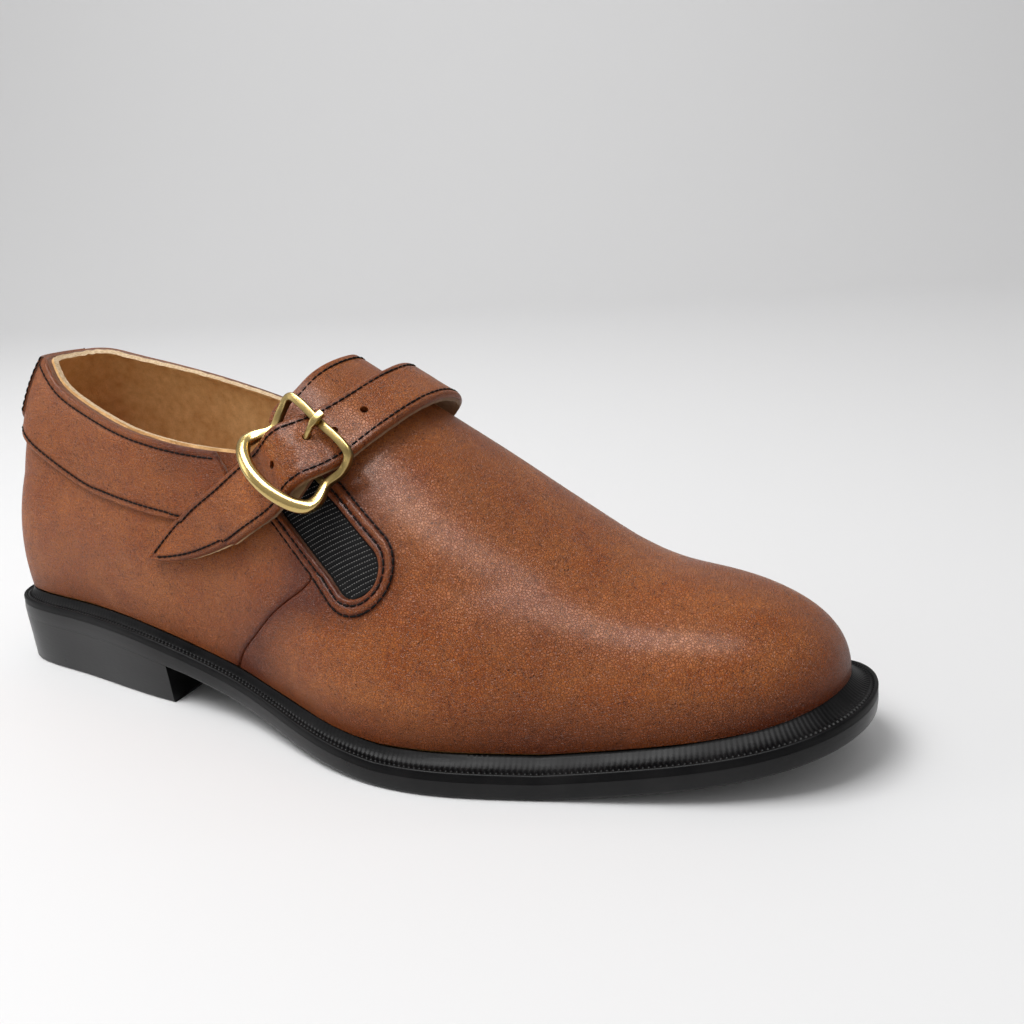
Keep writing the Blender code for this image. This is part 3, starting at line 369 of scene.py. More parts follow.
def skin(place, offset=0.0):
    """Points of the form from (station angle, girth in degrees): 0 is the ridge, -90 the lateral feather."""
    angle, girth = place[..., 0], place[..., 1]
    side = np.where(girth < 0, -1.0, 1.0)
    return form(angle * side, HALF_PI - np.radians(np.abs(girth)), offset)


SIDES = ("lateral", "medial")


def side_sign(side):
    """-1 on the lateral side, 1 on the medial one."""
    return -1.0 if side == "lateral" else 1.0


def from_side(side, points):
    """Points seen from the side, (along, height), as (angle, girth)."""
    points = np.asarray(points, float)
    angle = angle_of(points[..., 0])
    girth = (HALF_PI - rise_at(angle * side_sign(side), points[..., 1])) * side_sign(side)
    return np.stack([angle, np.degrees(girth)], -1)


print("instep at %.1f mm" % (1000 * float(ridge_height(0.47 * SOLE_LENGTH))))

# %% [markdown]
# ## Making meshes from grids
# Leather has two faces and a cut edge. So each piece is a grid of outer points, the same grid
# of inner points, and a rim of quads that joins their borders. The three parts get their own
# material slots: grain side, flesh side and edge. Working on whole arrays keeps this fast.


# %% From grids to closed pieces
def grid_quads(rows, columns, close_rows=False, close_columns=False):
    """Corner numbers of each cell of a grid stored row by row."""
    r = np.arange(rows if close_rows else rows - 1)[:, None]
    c = np.arange(columns if close_columns else columns - 1)[None, :]
    r2, c2 = (r + 1) % rows, (c + 1) % columns
    corners = [r * columns + c, r * columns + c2, r2 * columns + c2, r2 * columns + c]
    return np.stack(corners, -1).reshape(-1, 4)


def merge_same(points, quads):
    """Points that fall together within a hundredth of a millimetre become one, and cells that close up go."""
    keys = np.round(points * 1e5).astype(np.int64)
    _, first, index = np.unique(keys, axis=0, return_index=True, return_inverse=True)
    quads = index.reshape(-1)[quads]
    same = quads == np.roll(quads, -1, 1)
    whole = quads[~same.any(1)]
    pinched = quads[same.sum(1) == 1]
    pinched = pinched[~same[same.sum(1) == 1]].reshape(-1, 3)
    return first, [whole, pinched]


def border_edges(face_sets):
    """Directed edges that only one face has."""
    edges = np.vstack([np.stack([f, np.roll(f, -1, 1)], -1).reshape(-1, 2) for f in face_sets])
    top = edges.max() + 1
    forward = edges[:, 0] * top + edges[:, 1]
    backward = edges[:, 1] * top + edges[:, 0]
    return edges[~np.isin(forward, backward)]


def solid_volume(points, face_sets):
    """Sum of a . (b x c) / 6 over triangles: negative when the faces point inwards."""
    total = 0.0
    for faces in face_sets:
        for k in range(1, faces.shape[1] - 1):
            a, b, c = points[faces[:, 0]], points[faces[:, k]], points[faces[:, k + 1]]
            total += np.einsum("ij,ij->i", a, np.cross(b, c)).sum() / 6
    return total


def put(name, data):
    """A new object in the scene, at the origin."""
    thing = bpy.data.objects.new(name, data)
    bpy.context.scene.collection.objects.link(thing)
    return thing


def make_piece(name, points, face_sets, looks, replaces=(), sharp=40, values=None, which=None):
    """Puts points and faces into a mesh object at the origin, riding on the one body."""
    if solid_volume(points, face_sets) < 0:
        face_sets = [faces[:, ::-1] for faces in face_sets]
    mesh = bpy.data.meshes.new(name)
    mesh.from_pydata(points.tolist(), [], [f for faces in face_sets for f in faces.tolist()])
    for look in looks:
        mesh.materials.append(look)
    if which is not None:
        mesh.polygons.foreach_set("material_index", np.asarray(which, np.int32))
    mesh.shade_smooth()
    mesh.set_sharp_from_angle(angle=math.radians(sharp))
    for key, value in (values or {}).items():
        layer = mesh.attributes.new(key, "FLOAT", "POINT")
        layer.data.foreach_set("value", np.asarray(value, np.float32))
    piece = put(name, mesh)
    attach(piece, "root")
    if replaces:
        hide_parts(*replaces)
    print("%s: %d faces" % (name, len(mesh.polygons)))
    return piece


def shell(name, outer_grids, inner_grids, looks, replaces=(), values=None, sharp=40):
    """A closed piece from one or more grids that share borders: outer faces, inner faces, and rim."""
    outer = np.vstack([g.reshape(-1, 3) for g in outer_grids])
    inner = np.vstack([g.reshape(-1, 3) for g in inner_grids])
    starts = np.cumsum([0] + [g.shape[0] * g.shape[1] for g in outer_grids])
    quads = np.vstack([grid_quads(*g.shape[:2]) + s for g, s in zip(outer_grids, starts)])
    keep, faces = merge_same(outer, quads)
    count = len(keep)
    points = np.vstack([outer[keep], inner[keep]])
    rim = border_edges(faces)
    rim_faces = np.stack([rim[:, 1], rim[:, 0], rim[:, 0] + count, rim[:, 1] + count], 1)
    sets = [*faces, *[f[:, ::-1] + count for f in faces], rim_faces]
    sheet = len(faces[0]) + len(faces[1])
    which = np.minimum([0] * sheet + [1] * sheet + [2] * len(rim_faces), len(looks) - 1)
    spread = {}
    for key, value in (values or {}).items():
        spread[key] = np.tile(np.concatenate([v.reshape(-1) for v in value])[keep], 2)
    return make_piece(name, points, sets, looks, replaces, sharp, spread, which)


def loft(name, sections, looks, replaces=(), closed=False, sharp=40, values=None):
    """A piece through closed sections, as a rope is through its rings. The ends are fans to their middle."""
    rows, columns = sections.shape[:2]
    points = sections.reshape(-1, 3)
    sets = [grid_quads(rows, columns, closed, True)]
    if not closed:
        ends = np.stack([sections[0].mean(0), sections[-1].mean(0)])
        ring = np.arange(columns)
        nxt = (ring + 1) % columns
        last = (rows - 1) * columns
        first_fan = np.stack([nxt, ring, np.full(columns, len(points))], 1)
        last_fan = np.stack([ring + last, nxt + last, np.full(columns, len(points) + 1)], 1)
        points = np.vstack([points, ends])
        sets += [first_fan, last_fan]
        if values:
            values = {k: np.concatenate([v.reshape(-1), [v[0].mean(), v[-1].mean()]])
                      for k, v in values.items()}
    elif values:
        values = {k: v.reshape(-1) for k, v in values.items()}
    return make_piece(name, points, sets, looks, replaces, sharp, values)


def run_lengths(points, axis):
    """Distance from the first row or column, added up along an axis of a grid."""
    step = np.linalg.norm(np.diff(points, axis=axis), axis=-1)
    run = np.cumsum(step, axis=axis)
    pad = [(0, 0)] * run.ndim
    pad[axis] = (1, 0)
    return np.pad(run, pad)


def edge_distance(points, sides=(1, 1, 1, 1)):
    """Distance to the nearest border that counts, of: first row, last row, first column, last column."""
    down, over = run_lengths(points, 0), run_lengths(points, 1)
    choices = [down, down[-1:] - down, over, over[:, -1:] - over]
    return np.min([c if on else np.full_like(c, 1.0) for c, on in zip(choices, sides)], axis=0)


def roll_over(distance, radius):
    """0 at an edge, 1 from radius inwards, along a quarter circle."""
    near = np.clip(distance / radius, 0, 1)
    return np.sqrt(np.maximum(1 - (1 - near) ** 2, 0))


def packed_shares(count, length, fine):
    """Shares from 0 to 1, with extra ones within the distance fine of both ends."""
    close = np.array([0, 0.06, 0.18, 0.36, 0.6, 1.0]) * fine / length
    return np.concatenate([close[:-1], np.linspace(close[-1], 1 - close[-1], count), (1 - close[:-1])[::-1]])


def smooth_step(value, low, high):
    """0 below low, 1 above high, and 3 t^2 - 2 t^3 between them."""
    t = np.clip((value - low) / (high - low), 0, 1)
    return t * t * (3 - 2 * t)


def ripple(points, size, seed):
    """A slow unevenness between -1 and 1: a sum of sines in seeded directions, about size apart."""
    rng = np.random.default_rng(seed)
    total = np.zeros(points.shape[:-1])
    for _ in range(9):
        wave = rng.normal(size=3)
        wave *= 2 * math.pi / (size * rng.uniform(0.7, 1.6)) / np.linalg.norm(wave)
        total += np.sin(points @ wave + rng.uniform(0, 6.28))
    return total / 9 ** 0.5 / 1.5


def bell(value, middle, width):
    """1 at the middle and fading on both sides: e to the power of minus the squared distance in widths."""
    return np.exp(-((value - middle) / width) ** 2)


def resample(path, spacing=None, count=None):
    """A run of points at even distances along itself."""
    run = chord_run(path)
    count = count or max(2, int(round(run[-1] / spacing)) + 1)
    sample = np.linspace(0, run[-1], count)
    return np.stack([np.interp(sample, run, path[:, k]) for k in range(path.shape[1])], 1)

# %% [markdown]
# ## Materials: effects used again and again
# Three effects return in many finishes: the grain of leather with its pores, the slow mottling
# of a dyed hide, and the darkening that a shoemaker burnishes into it. Each is a shader node
# group with named sockets, placed in every material that needs it, with its own values. The
# burnish itself comes from an attribute that the mesh carries, because it follows the seams;
# the same attribute also carries painted shade in the stitch grooves and over the strap's bulge.


# %% Node helpers
def new_group(name, inputs, outputs):
    """A shader group with its sockets: (name, kind, default) for inputs and (name, kind) for outputs."""
    tree = bpy.data.node_groups.new(name, "ShaderNodeTree")
    for label, kind, default in inputs:
        socket = tree.interface.new_socket(label, in_out="INPUT", socket_type=kind)
        socket.default_value = default
    for label, kind in outputs:
        tree.interface.new_socket(label, in_out="OUTPUT", socket_type=kind)
    return tree, tree.nodes.new("NodeGroupInput"), tree.nodes.new("NodeGroupOutput")


def set_inputs(tree, node, **links):
    """Values or links for a node's inputs, by number (i0, i1) or by name with _ for a space."""
    for key, value in links.items():
        numbered = key[0] == "i" and key[1:].isdigit()
        socket = node.inputs[int(key[1:]) if numbered else key.replace("_", " ")]
        if isinstance(value, bpy.types.NodeSocket):
            tree.links.new(value, socket)
        else:
            socket.default_value = value
    return node


def add(tree, kind, settings=None, **links):
    """A node with settings for its properties, and values or links for its inputs."""
    node = tree.nodes.new(kind)
    for key, value in (settings or {}).items():
        setattr(node, key, value)
    return set_inputs(tree, node, **links)


def math_node(tree, operation, *values):
    """One step of arithmetic on numbers or sockets."""
    inputs = {"i%d" % number: value for number, value in enumerate(values)}
    return add(tree, "ShaderNodeMath", {"operation": operation}, **inputs).outputs[0]


def ramp(tree, source, low, high, out_low=0.0, out_high=1.0):
    """A straight-line map of a value, held at its ends."""
    return add(tree, "ShaderNodeMapRange", {"clamp": True}, Value=source, From_Min=low, From_Max=high,
               To_Min=out_low, To_Max=out_high).outputs[0]


def mix_colour(tree, share, first, second):
    """The first colour where share is 0, the second where it is 1."""
    return add(tree, "ShaderNodeMix", {"data_type": "RGBA"}, i0=share, i6=first, i7=second).outputs[2]


def own_place(tree):
    """The point's own coordinates on its piece, so that a pattern stays with the leather."""
    return add(tree, "ShaderNodeTexCoord").outputs["Object"]


def noise(tree, place, scale, detail, roughness=0.5):
    """Soft random values between 0 and 1, about scale of them in a metre."""
    return add(tree, "ShaderNodeTexNoise", Vector=place, Scale=scale, Detail=detail,
               Roughness=roughness).outputs[0]


def carried(tree, name):
    """The value of an attribute that the mesh carries."""
    return add(tree, "ShaderNodeAttribute", {"attribute_name": name}).outputs["Fac"]


# %% The leather grain group
def make_grain_group():
    """Cells of a Voronoi texture are the grain, its points the pores; a fine noise breaks both up."""
    tree, source, sink = new_group(
        "leather_grain",
        [("Cells", "NodeSocketFloat", 1300.0), ("Pores", "NodeSocketFloat", 0.5)],
        [("Height", "NodeSocketFloat"), ("Dark", "NodeSocketFloat")],
    )
    place = own_place(tree)
    bent = noise(tree, place, 700.0, 2.0).node.outputs["Color"]
    shifted = add(tree, "ShaderNodeVectorMath", {"operation": "MULTIPLY_ADD"}, i0=bent,
                  i1=(0.0009, 0.0009, 0.0009), i2=place).outputs[0]
    scale, strength = source.outputs["Cells"], source.outputs["Pores"]
    cells, dots = [add(tree, "ShaderNodeTexVoronoi", {"feature": feature}, Vector=shifted,
                       Scale=scale).outputs["Distance"]
                   for feature in ("DISTANCE_TO_EDGE", "F1")]
    crease = ramp(tree, cells, 0.0, 0.16)
    pore = ramp(tree, dots, 0.14, 0.42, 1.0, 0.0)
    group_of_pores = ramp(tree, noise(tree, place, 260.0, 4.0), 0.36, 0.56)
    pore = math_node(tree, "MULTIPLY", math_node(tree, "MULTIPLY", pore, group_of_pores), strength)
    height = math_node(tree, "MULTIPLY_ADD", noise(tree, place, 2600.0, 3.0), 0.35, crease)
    valley = math_node(tree, "MULTIPLY", ramp(tree, cells, 0.0, 0.14, 0.60, 0.0), strength)
    set_inputs(tree, sink, Height=math_node(tree, "SUBTRACT", height, pore),
               Dark=math_node(tree, "MAXIMUM", pore, valley))
    return tree


# %% The mottle group
def make_mottle_group():
    """Two noises of different sizes, added: 0.45 of wide clouds and 0.55 of small spots."""
    tree, source, sink = new_group(
        "hide_mottle", [("Clouds", "NodeSocketFloat", 70.0), ("Spots", "NodeSocketFloat", 600.0)],
        [("Value", "NodeSocketFloat")],
    )
    place = own_place(tree)
    clouds = math_node(tree, "MULTIPLY", noise(tree, place, source.outputs["Clouds"], 3.0, 0.55), 0.45)
    spots = math_node(tree, "MULTIPLY", noise(tree, place, source.outputs["Spots"], 3.0, 0.6), 0.55)
    both = math_node(tree, "ADD", clouds, spots)
    set_inputs(tree, sink, Value=ramp(tree, both, 0.36, 0.64))
    return tree


GRAIN = make_grain_group()
MOTTLE = make_mottle_group()


def new_material(name):
    made = bpy.data.materials.new(name)
    made.use_nodes = True
    return made, made.node_tree, made.node_tree.nodes["Principled BSDF"]


def use_group(tree, group, **values):
    """One of the shared effects, with its own values."""
    return add(tree, "ShaderNodeGroup", {"node_tree": group}, **values)


def give_bump(tree, shader, height, distance, strength=1.0):
    bump = add(tree, "ShaderNodeBump", Height=height, Distance=distance, Strength=strength)
    set_inputs(tree, shader, Normal=bump.outputs[0])


# %% [markdown]
# ## Leather
# The shoe is a smooth cognac calf, dyed a warm brown and polished: pinkish where the light
# catches it, orange in the burnished zones, nearly black in the pores. Burnish pulls the colour
# to a deep red-brown.

# %% Grain-side leather
LEATHER_LIGHT = (0.450, 0.143, 0.034, 1)
LEATHER_MID = (0.300, 0.068, 0.010, 1)
# The burnt brown is burnish, and also painted shade in the stitch grooves and over the strap's bulge.
LEATHER_BURNISH_AND_SHADE = (0.125, 0.021, 0.003, 1)
LEATHER_PORE = (0.045, 0.009, 0.002, 1)


def make_leather(name, cells=1300.0, pores=0.95):
    """Mottle mixes two browns; then burnish and painted shade, and last the pores, pull the mix to darker
    ones.
    """
    made, tree, shader = new_material(name)
    mottle = use_group(tree, MOTTLE, Spots=1000.0).outputs["Value"]
    grain = use_group(tree, GRAIN, Cells=cells, Pores=pores)
    patchy = math_node(tree, "MULTIPLY_ADD", mottle, 0.5, 0.72)
    uneven = math_node(tree, "MULTIPLY", carried(tree, "burnish_and_shade"), patchy)
    colour = mix_colour(tree, mottle, LEATHER_MID, LEATHER_LIGHT)
    colour = mix_colour(tree, ramp(tree, uneven, 0.0, 1.0), colour, LEATHER_BURNISH_AND_SHADE)
    colour = mix_colour(tree, grain.outputs["Dark"], colour, LEATHER_PORE)
    set_inputs(tree, shader, Base_Color=colour, Roughness=ramp(tree, mottle, 0.0, 1.0, 0.34, 0.44),
               Specular_IOR_Level=0.17, Coat_Weight=0.11, Coat_Roughness=0.25)
    give_bump(tree, shader, grain.outputs["Height"], 0.00016)
    return made


def make_plain(name, light, dark, roughness, bump, size, specular=0.5, sheen=0.0):
    """A finish between two colours, mixed by a noise that also gives the bump."""
    made, tree, shader = new_material(name)
    rough_noise = noise(tree, own_place(tree), size, 5.0, 0.65)
    colour = mix_colour(tree, ramp(tree, rough_noise, 0.3, 0.7), (*dark, 1), (*light, 1))
    set_inputs(tree, shader, Base_Color=colour, Roughness=roughness, Specular_IOR_Level=specular,
               Sheen_Weight=sheen)
    give_bump(tree, shader, rough_noise, bump)
    return made


def make_backing_edge(name):
    """Cream where the edge was left raw, brown where it was dyed with the strap; an attribute says which."""
    made, tree, shader = new_material(name)
    rough_noise = noise(tree, own_place(tree), 1100.0, 5.0, 0.65)
    cream = mix_colour(tree, ramp(tree, rough_noise, 0.3, 0.7), (0.42, 0.25, 0.12, 1), (0.72, 0.54, 0.32, 1))
    colour = mix_colour(tree, carried(tree, "raw"), (0.085, 0.026, 0.010, 1), cream)
    set_inputs(tree, shader, Base_Color=colour, Roughness=0.8)
    give_bump(tree, shader, rough_noise, 0.0003)
    return made


backing_edge = make_backing_edge("strap_backing_edge")
cognac = make_leather("cognac_leather")
strap_leather = make_leather("strap_cognac_leather", cells=1150.0, pores=1.0)
cut_edge = make_plain("dyed_cut_edge", (0.20, 0.075, 0.030), (0.09, 0.030, 0.012), 0.62, 0.00015, 900.0)
flesh_side = make_plain("flesh_side", (0.46, 0.29, 0.14), (0.34, 0.20, 0.09), 0.85, 0.0001, 800.0, sheen=0.1)
raw_edge = make_plain("raw_pale_edge", (0.78, 0.60, 0.38), (0.46, 0.29, 0.14), 0.9, 0.0003, 1100.0)
thread_black = make_plain("black_thread", (0.009, 0.007, 0.006), (0.003, 0.002, 0.002), 0.75, 0.00008,
                          3000.0, 0.08)
CALF = [cognac, flesh_side, cut_edge]
STRAP_CALF = [strap_leather, flesh_side, cut_edge]

# %% [markdown]
# ## Lining leather
# Inside is undyed vegetable-tanned leather: ochre, matt, a little darker in clouds where hands
# and heat have been.

# %% Lining
def make_lining(name):
    """The same two effects as calf, but matt, pale and without burnish."""
    made, tree, shader = new_material(name)
    mottle = use_group(tree, MOTTLE, Clouds=45.0, Spots=300.0).outputs["Value"]
    grain = use_group(tree, GRAIN, Cells=900.0, Pores=0.2)
    colour = mix_colour(tree, mottle, (0.62, 0.310, 0.090, 1), (0.82, 0.490, 0.190, 1))
    colour = mix_colour(tree, grain.outputs["Dark"], colour, (0.16, 0.07, 0.03, 1))
    set_inputs(tree, shader, Base_Color=colour, Roughness=0.68)
    give_bump(tree, shader, grain.outputs["Height"], 0.00007, 0.6)
    return made


lining_leather = make_lining("lining_leather")


# %% [markdown]
# ## Black sole, brass and elastic
# The sole's edge is inked and waxed: black with a soft gloss and faint marks from the iron that
# set it. The brass is antique: brown in its hollows and rubbed bright on what stands out. An
# attribute that is made with the piece says where it stands out.

# %% Sole, brass, elastic
def make_black(name, roughness, coat, specular=0.18):
    """Two near blacks; the bump's noise is squeezed upwards into faint level lines."""
    made, tree, shader = new_material(name)
    place = own_place(tree)
    squeezed = add(tree, "ShaderNodeMapping", Vector=place, Scale=(1.0, 1.0, 5.0)).outputs[0]
    cloud = noise(tree, place, 90.0, 4.0)
    colour = mix_colour(tree, ramp(tree, cloud, 0.35, 0.7), (0.0030, 0.0030, 0.0034, 1),
                        (0.0090, 0.0086, 0.0090, 1))
    rough = ramp(tree, cloud, 0.3, 0.75, roughness - 0.05, roughness + 0.09)
    set_inputs(tree, shader, Base_Color=colour, Roughness=rough, Specular_IOR_Level=specular,
               Coat_Weight=coat, Coat_Roughness=0.16)
    give_bump(tree, shader, noise(tree, squeezed, 320.0, 3.0), 0.00004)
    return made


def make_brass(name):
    """Brightness is the rubbed share plus 0.7 of a noise; it lifts the colour and lowers the roughness."""
    made, tree, shader = new_material(name)
    cloud = noise(tree, own_place(tree), 420.0, 5.0, 0.6)
    bright = math_node(tree, "MULTIPLY_ADD", cloud, 0.7, carried(tree, "rubbed"))
    colour = mix_colour(tree, ramp(tree, bright, 0.25, 1.15), (0.075, 0.050, 0.019, 1),
                        (0.56, 0.41, 0.16, 1))
    set_inputs(tree, shader, Base_Color=colour, Metallic=1.0,
               Roughness=ramp(tree, bright, 0.25, 1.15, 0.45, 0.20))
    give_bump(tree, shader, cloud, 0.00005)
    return made


edge_black = make_black("waxed_edge_black", 0.32, 0.16)
welt_black = make_black("welt_black", 0.42, 0.0, 0.08)
brass = make_brass("antique_brass")
elastic_dark = make_plain("elastic_yarn", (0.0055, 0.0055, 0.006), (0.002, 0.002, 0.0024), 0.85, 0.0001,
                          2600.0, 0.12)
# The pale grey of these yarns is a painted sheen.
elastic_painted_sheen = make_plain("elastic_yarn_painted_sheen", (0.24, 0.23, 0.215), (0.07, 0.07, 0.07), 0.5, 0.0001,
                           2600.0)
print("materials:", len(bpy.data.materials))

# %% [markdown]
# ## The gore slots
# On each side a slot with a round end is cut into the upper and filled with elastic. Seen from
# the side its edge is two straight lines and a half circle. Everything round it, such as the
# rim, both stitch rows and the leather's own cut, is this line at another distance.


# %% The line round a slot
def slot_centre(side):
    """Centre of the slot's round end, as (along, height) in metres."""
    return np.array(SLOT_END[side]) * [SOLE_LENGTH, INSTEP_HEIGHT]


def slot_side(side, front, lengths, gap=0.0):
    """Points on a straight side, at lengths up from the round end: front is 1 or, for the rear, -1."""
    start = slot_centre(side) + front * SLOT_FRONT * (SLOT_HALF_WIDTH + gap)
    return start + SLOT_RUN * np.asarray(lengths)[:, None]


def slot_arc(side, first, last, count, gap=0.0):
    """Part of the round end, by cosine and sine: -90 degrees is the rear side, 90 the front one."""
    turn = np.linspace(first, last, count)[:, None]
    return slot_centre(side) + (SLOT_HALF_WIDTH + gap) * (SLOT_FRONT * np.sin(turn) - SLOT_RUN * np.cos(turn))


def slot_line(side, gap, rear_length, front_length):
    """Down the rear side, round the end and up the front side, at a distance gap outside the cut."""
    rear = slot_side(side, -1, np.linspace(rear_length, 0, 40)[:-1], gap)
    front = slot_side(side, 1, np.linspace(0, front_length, 40)[1:], gap)
    return np.vstack([rear, slot_arc(side, -HALF_PI, HALF_PI, 48, gap), front])


def collar_height(side, x, column=1):
    """The topline's height (column 1) or the collar band's lower edge (column 3)."""
    step = 0 if side == "lateral" else 1
    return column_spline(COLLAR, column + step, INSTEP_HEIGHT)(x / SOLE_LENGTH)


def rear_corner(side):
    """How far up the slot's rear side the topline crosses it."""
    reach = np.linspace(0.03, 0.09, 2401)
    line = slot_side(side, -1, reach)
    return float(reach[int(np.argmax(line[:, 1] > collar_height(side, line[:, 0])))])


def tongue_corner(side):
    """How far up the slot's front side the tongue's end begins."""
    row = TONGUE_END[0] if side == "lateral" else TONGUE_END[-1]
    start = slot_centre(side)[0] + SLOT_FRONT[0] * SLOT_HALF_WIDTH
    return (row[1] * SOLE_LENGTH - start) / SLOT_RUN[0]


SEAM = np.array([(0.1534, 0.0530), (0.1476, 0.0478), (0.1396, 0.0418), (0.1291, 0.0317), (0.1209, 0.0236),
                 (0.1169, 0.0176)])
SEAM_AT_SLOT = 0.0115


def seam_line(side, count):
    """The join of vamp and quarter, from the slot's rear side down to the feather, as (angle, girth)."""
    shift = np.subtract(SLOT_END[side], SLOT_END["lateral"]) * [SOLE_LENGTH, INSTEP_HEIGHT]
    fade = np.linspace(1, 0, len(SEAM))[:, None]
    spots = np.vstack([slot_side(side, -1, [SEAM_AT_SLOT]), SEAM + shift * fade])
    run = chord_run(spots)
    smooth = [natural_spline(run, spots[:, k])(np.linspace(0, run[-1], count)) for k in (0, 1)]
    line = from_side(side, np.stack(smooth, 1))
    line[:, 1] += (side_sign(side) * 90 - line[-1, 1]) * np.linspace(0, 1, count) ** 3
    return line


def coons(top, bottom, left, right, over=None, down=None):
    """A patch between four lines: the two ruled patches added, less the flat one through the corners."""
    s = (np.linspace(0, 1, len(top)) if over is None else over)[:, None, None]
    t = (np.linspace(0, 1, len(left)) if down is None else down)[None, :, None]
    ruled = (1 - t) * top[:, None] + t * bottom[:, None] + (1 - s) * left[None] + s * right[None]
    flat = (1 - s) * ((1 - t) * top[0] + t * bottom[0]) + s * ((1 - t) * top[-1] + t * bottom[-1])
    return ruled - flat


for side in SIDES:
    print(side, "slot crosses the topline %.1f mm up" % (1000 * rear_corner(side)))


# %% [markdown]
# ## Burnish and fit
# The darker zones of the leather are placed in the shoe's own sizes: above the welt on
# the vamp, beside the seam, round the gore, under the strap and at the front of the collar. The
# same function serves every leather piece, so the tone runs on across the overlays.

# %% Burnish as a function of the place
SLOT_PATHS = {side: skin(from_side(side, slot_line(side, 0.0, 0.04, 0.04))) for side in SIDES}
SEAM_PATHS = {side: skin(seam_line(side, 60)) for side in SIDES}


def nearest(points, path):
    """Distance of each point to a run of points, measured to each straight piece between two of them."""
    flat = points.reshape(-1, 3)
    best = np.full(len(flat), 9.0)
    for first, last in zip(path[:-1], path[1:]):
        way = last - first
        share = np.clip((flat - first) @ way / max(way @ way, 1e-12), 0, 1)
        best = np.minimum(best, ((flat - first - share[:, None] * way) ** 2).sum(1))
    return np.sqrt(best).reshape(points.shape[:-1])


# How dark each zone gets, between 0 and 1
VAMP_LOW, QUARTER, QUARTER_LOW, TOE, ROUND_SLOT = 0.74, 0.10, 0.30, 0.32, 0.72
SEAM_BEHIND, SEAM_AHEAD, SEAM_ITSELF, COLLAR_FRONT, CLOUDS = 0.20, 0.50, 0.7, 0.60, 0.20
GROOVE_WIDTH = 0.0006
GROOVE_DEPTH = 0.00022


def burnish_at(points):
    """Adds soft bumps: each is 1 at its line and fades with the distance."""
    x = points[..., 0] + HEEL_CENTRE
    z = points[..., 2]
    above = z - feather_height(np.clip(x, 0, SOLE_LENGTH))
    front = smooth_step(x, 0.115, 0.150)
    total = VAMP_LOW * front * (1 - smooth_step(above, -0.002, 0.021))
    total += (1 - front) * (QUARTER + QUARTER_LOW * (1 - smooth_step(above, 0.0, 0.012)))
    total += TOE * smooth_step(x, 0.256, 0.296) * (1 - smooth_step(above, 0.004, 0.034))
    for side in SIDES:
        near_slot = nearest(points, SLOT_PATHS[side])
        total += ROUND_SLOT * (1 - smooth_step(near_slot, 0.002, 0.017)) * smooth_step(x, 0.120, 0.150)
        near_seam = nearest(points, SEAM_PATHS[side])
        ahead = smooth_step(x - (0.100 + 0.9 * np.clip(z - 0.017, 0, 0.04)), 0.0, 0.024)
        total += (SEAM_BEHIND + SEAM_AHEAD * ahead) * (1 - smooth_step(near_seam, 0.0, 0.018))
        total += SEAM_ITSELF * bell(near_seam, 0, 0.0011)
    top = collar_height("lateral", np.clip(x, 0.0, 0.127))
    collar = (1 - smooth_step(np.abs(x - 0.108), 0.008, 0.034)) * (1 - smooth_step(top - z, 0.0, 0.018))
    total += COLLAR_FRONT * collar
    total += CLOUDS * ripple(points, 0.045, 11) * (0.4 + front)
    return np.clip(total, 0, 1)


def stitch_shade(distance):
    """Painted shade in the thread's groove: a narrow dark line round distance 0."""
    return 0.75 * bell(distance, 0, GROOVE_WIDTH)


def creases_at(points):
    """Soft troughs and ridges of the vamp's flanks, as an outward offset in metres."""
    x = points[..., 0] + HEEL_CENTRE
    y, z = points[..., 1], points[..., 2]
    flank = smooth_step(np.abs(y), 0.012, 0.045) * (1 - smooth_step(z, 0.050, 0.075))
    fold = np.sin((x - 0.150 + 0.35 * z) / 0.0115) * bell(x, 0.168, 0.020)
    return 0.00018 * flank * fold + 0.00016 * ripple(points, 0.030, 5)


def nearest_seam(points):
    """Distance to the nearer one of the two side seams."""
    return np.minimum(nearest(points, SEAM_PATHS["lateral"]), nearest(points, SEAM_PATHS["medial"]))

# %% [markdown]
# ## Quarters
# The two quarters wrap the heel from seam to seam. Each half is a patch between four lines: the
# back of the heel, the topline, the slot's rear side with the seam below it, and the feather.
# Near the seam the leather rolls down, so that both pieces meet in a groove, as turned edges do.

# %% Quarters
SKIN_THICKNESS = 0.0011
LINING_THICKNESS = 0.0014
SEAM_ROLL = 0.0010
SEAM_DEPTH = 0.0010


def finer_at_end(count, length):
    """Shares from 0 to 1 that crowd together over the last two millimetres."""
    near = np.array([2.0, 1.6, 1.2, 0.9, 0.65, 0.45, 0.3, 0.18, 0.08, 0.0]) / 1000 / length
    return np.concatenate([np.linspace(0, 1 - near[0], count)[:-1], 1 - near])


def even_path(path, shares):
    """A border line taken at shares of its real length."""
    points = skin(path)
    run = chord_run(points)
    return np.stack([np.interp(np.asarray(shares) * run[-1], run, path[:, k]) for k in (0, 1)], 1)


def quarter_patch(side, along, down, lift=0.0):
    """Rows from the back of the heel to the front border, columns from the topline to the feather."""
    rear = slot_side(side, -1, np.linspace(rear_corner(side), SEAM_AT_SLOT, 60))
    x = along_of(along * float(angle_of(rear[0, 0])))
    top = from_side(side, np.stack([x, collar_height(side, x) + lift], 1))
    seam = seam_line(side, 80)
    border = even_path(np.vstack([from_side(side, rear), seam[1:]]), down)
    border[0] = top[-1]
    feather = np.stack([seam[-1, 0] * along, np.full(len(along), side_sign(side) * 90.0)], 1)
    back = top[0] + (feather[0] - top[0]) * np.asarray(down)[:, None]
    return coons(top, feather, back, border, over=along)


def both_quarters(along, down, lift=0.0):
    """One grid from seam to seam: the lateral patch turned round, then the medial one."""
    lateral, medial = [quarter_patch(side, along, down, lift) for side in SIDES]
    return np.vstack([lateral[::-1], medial[1:]])


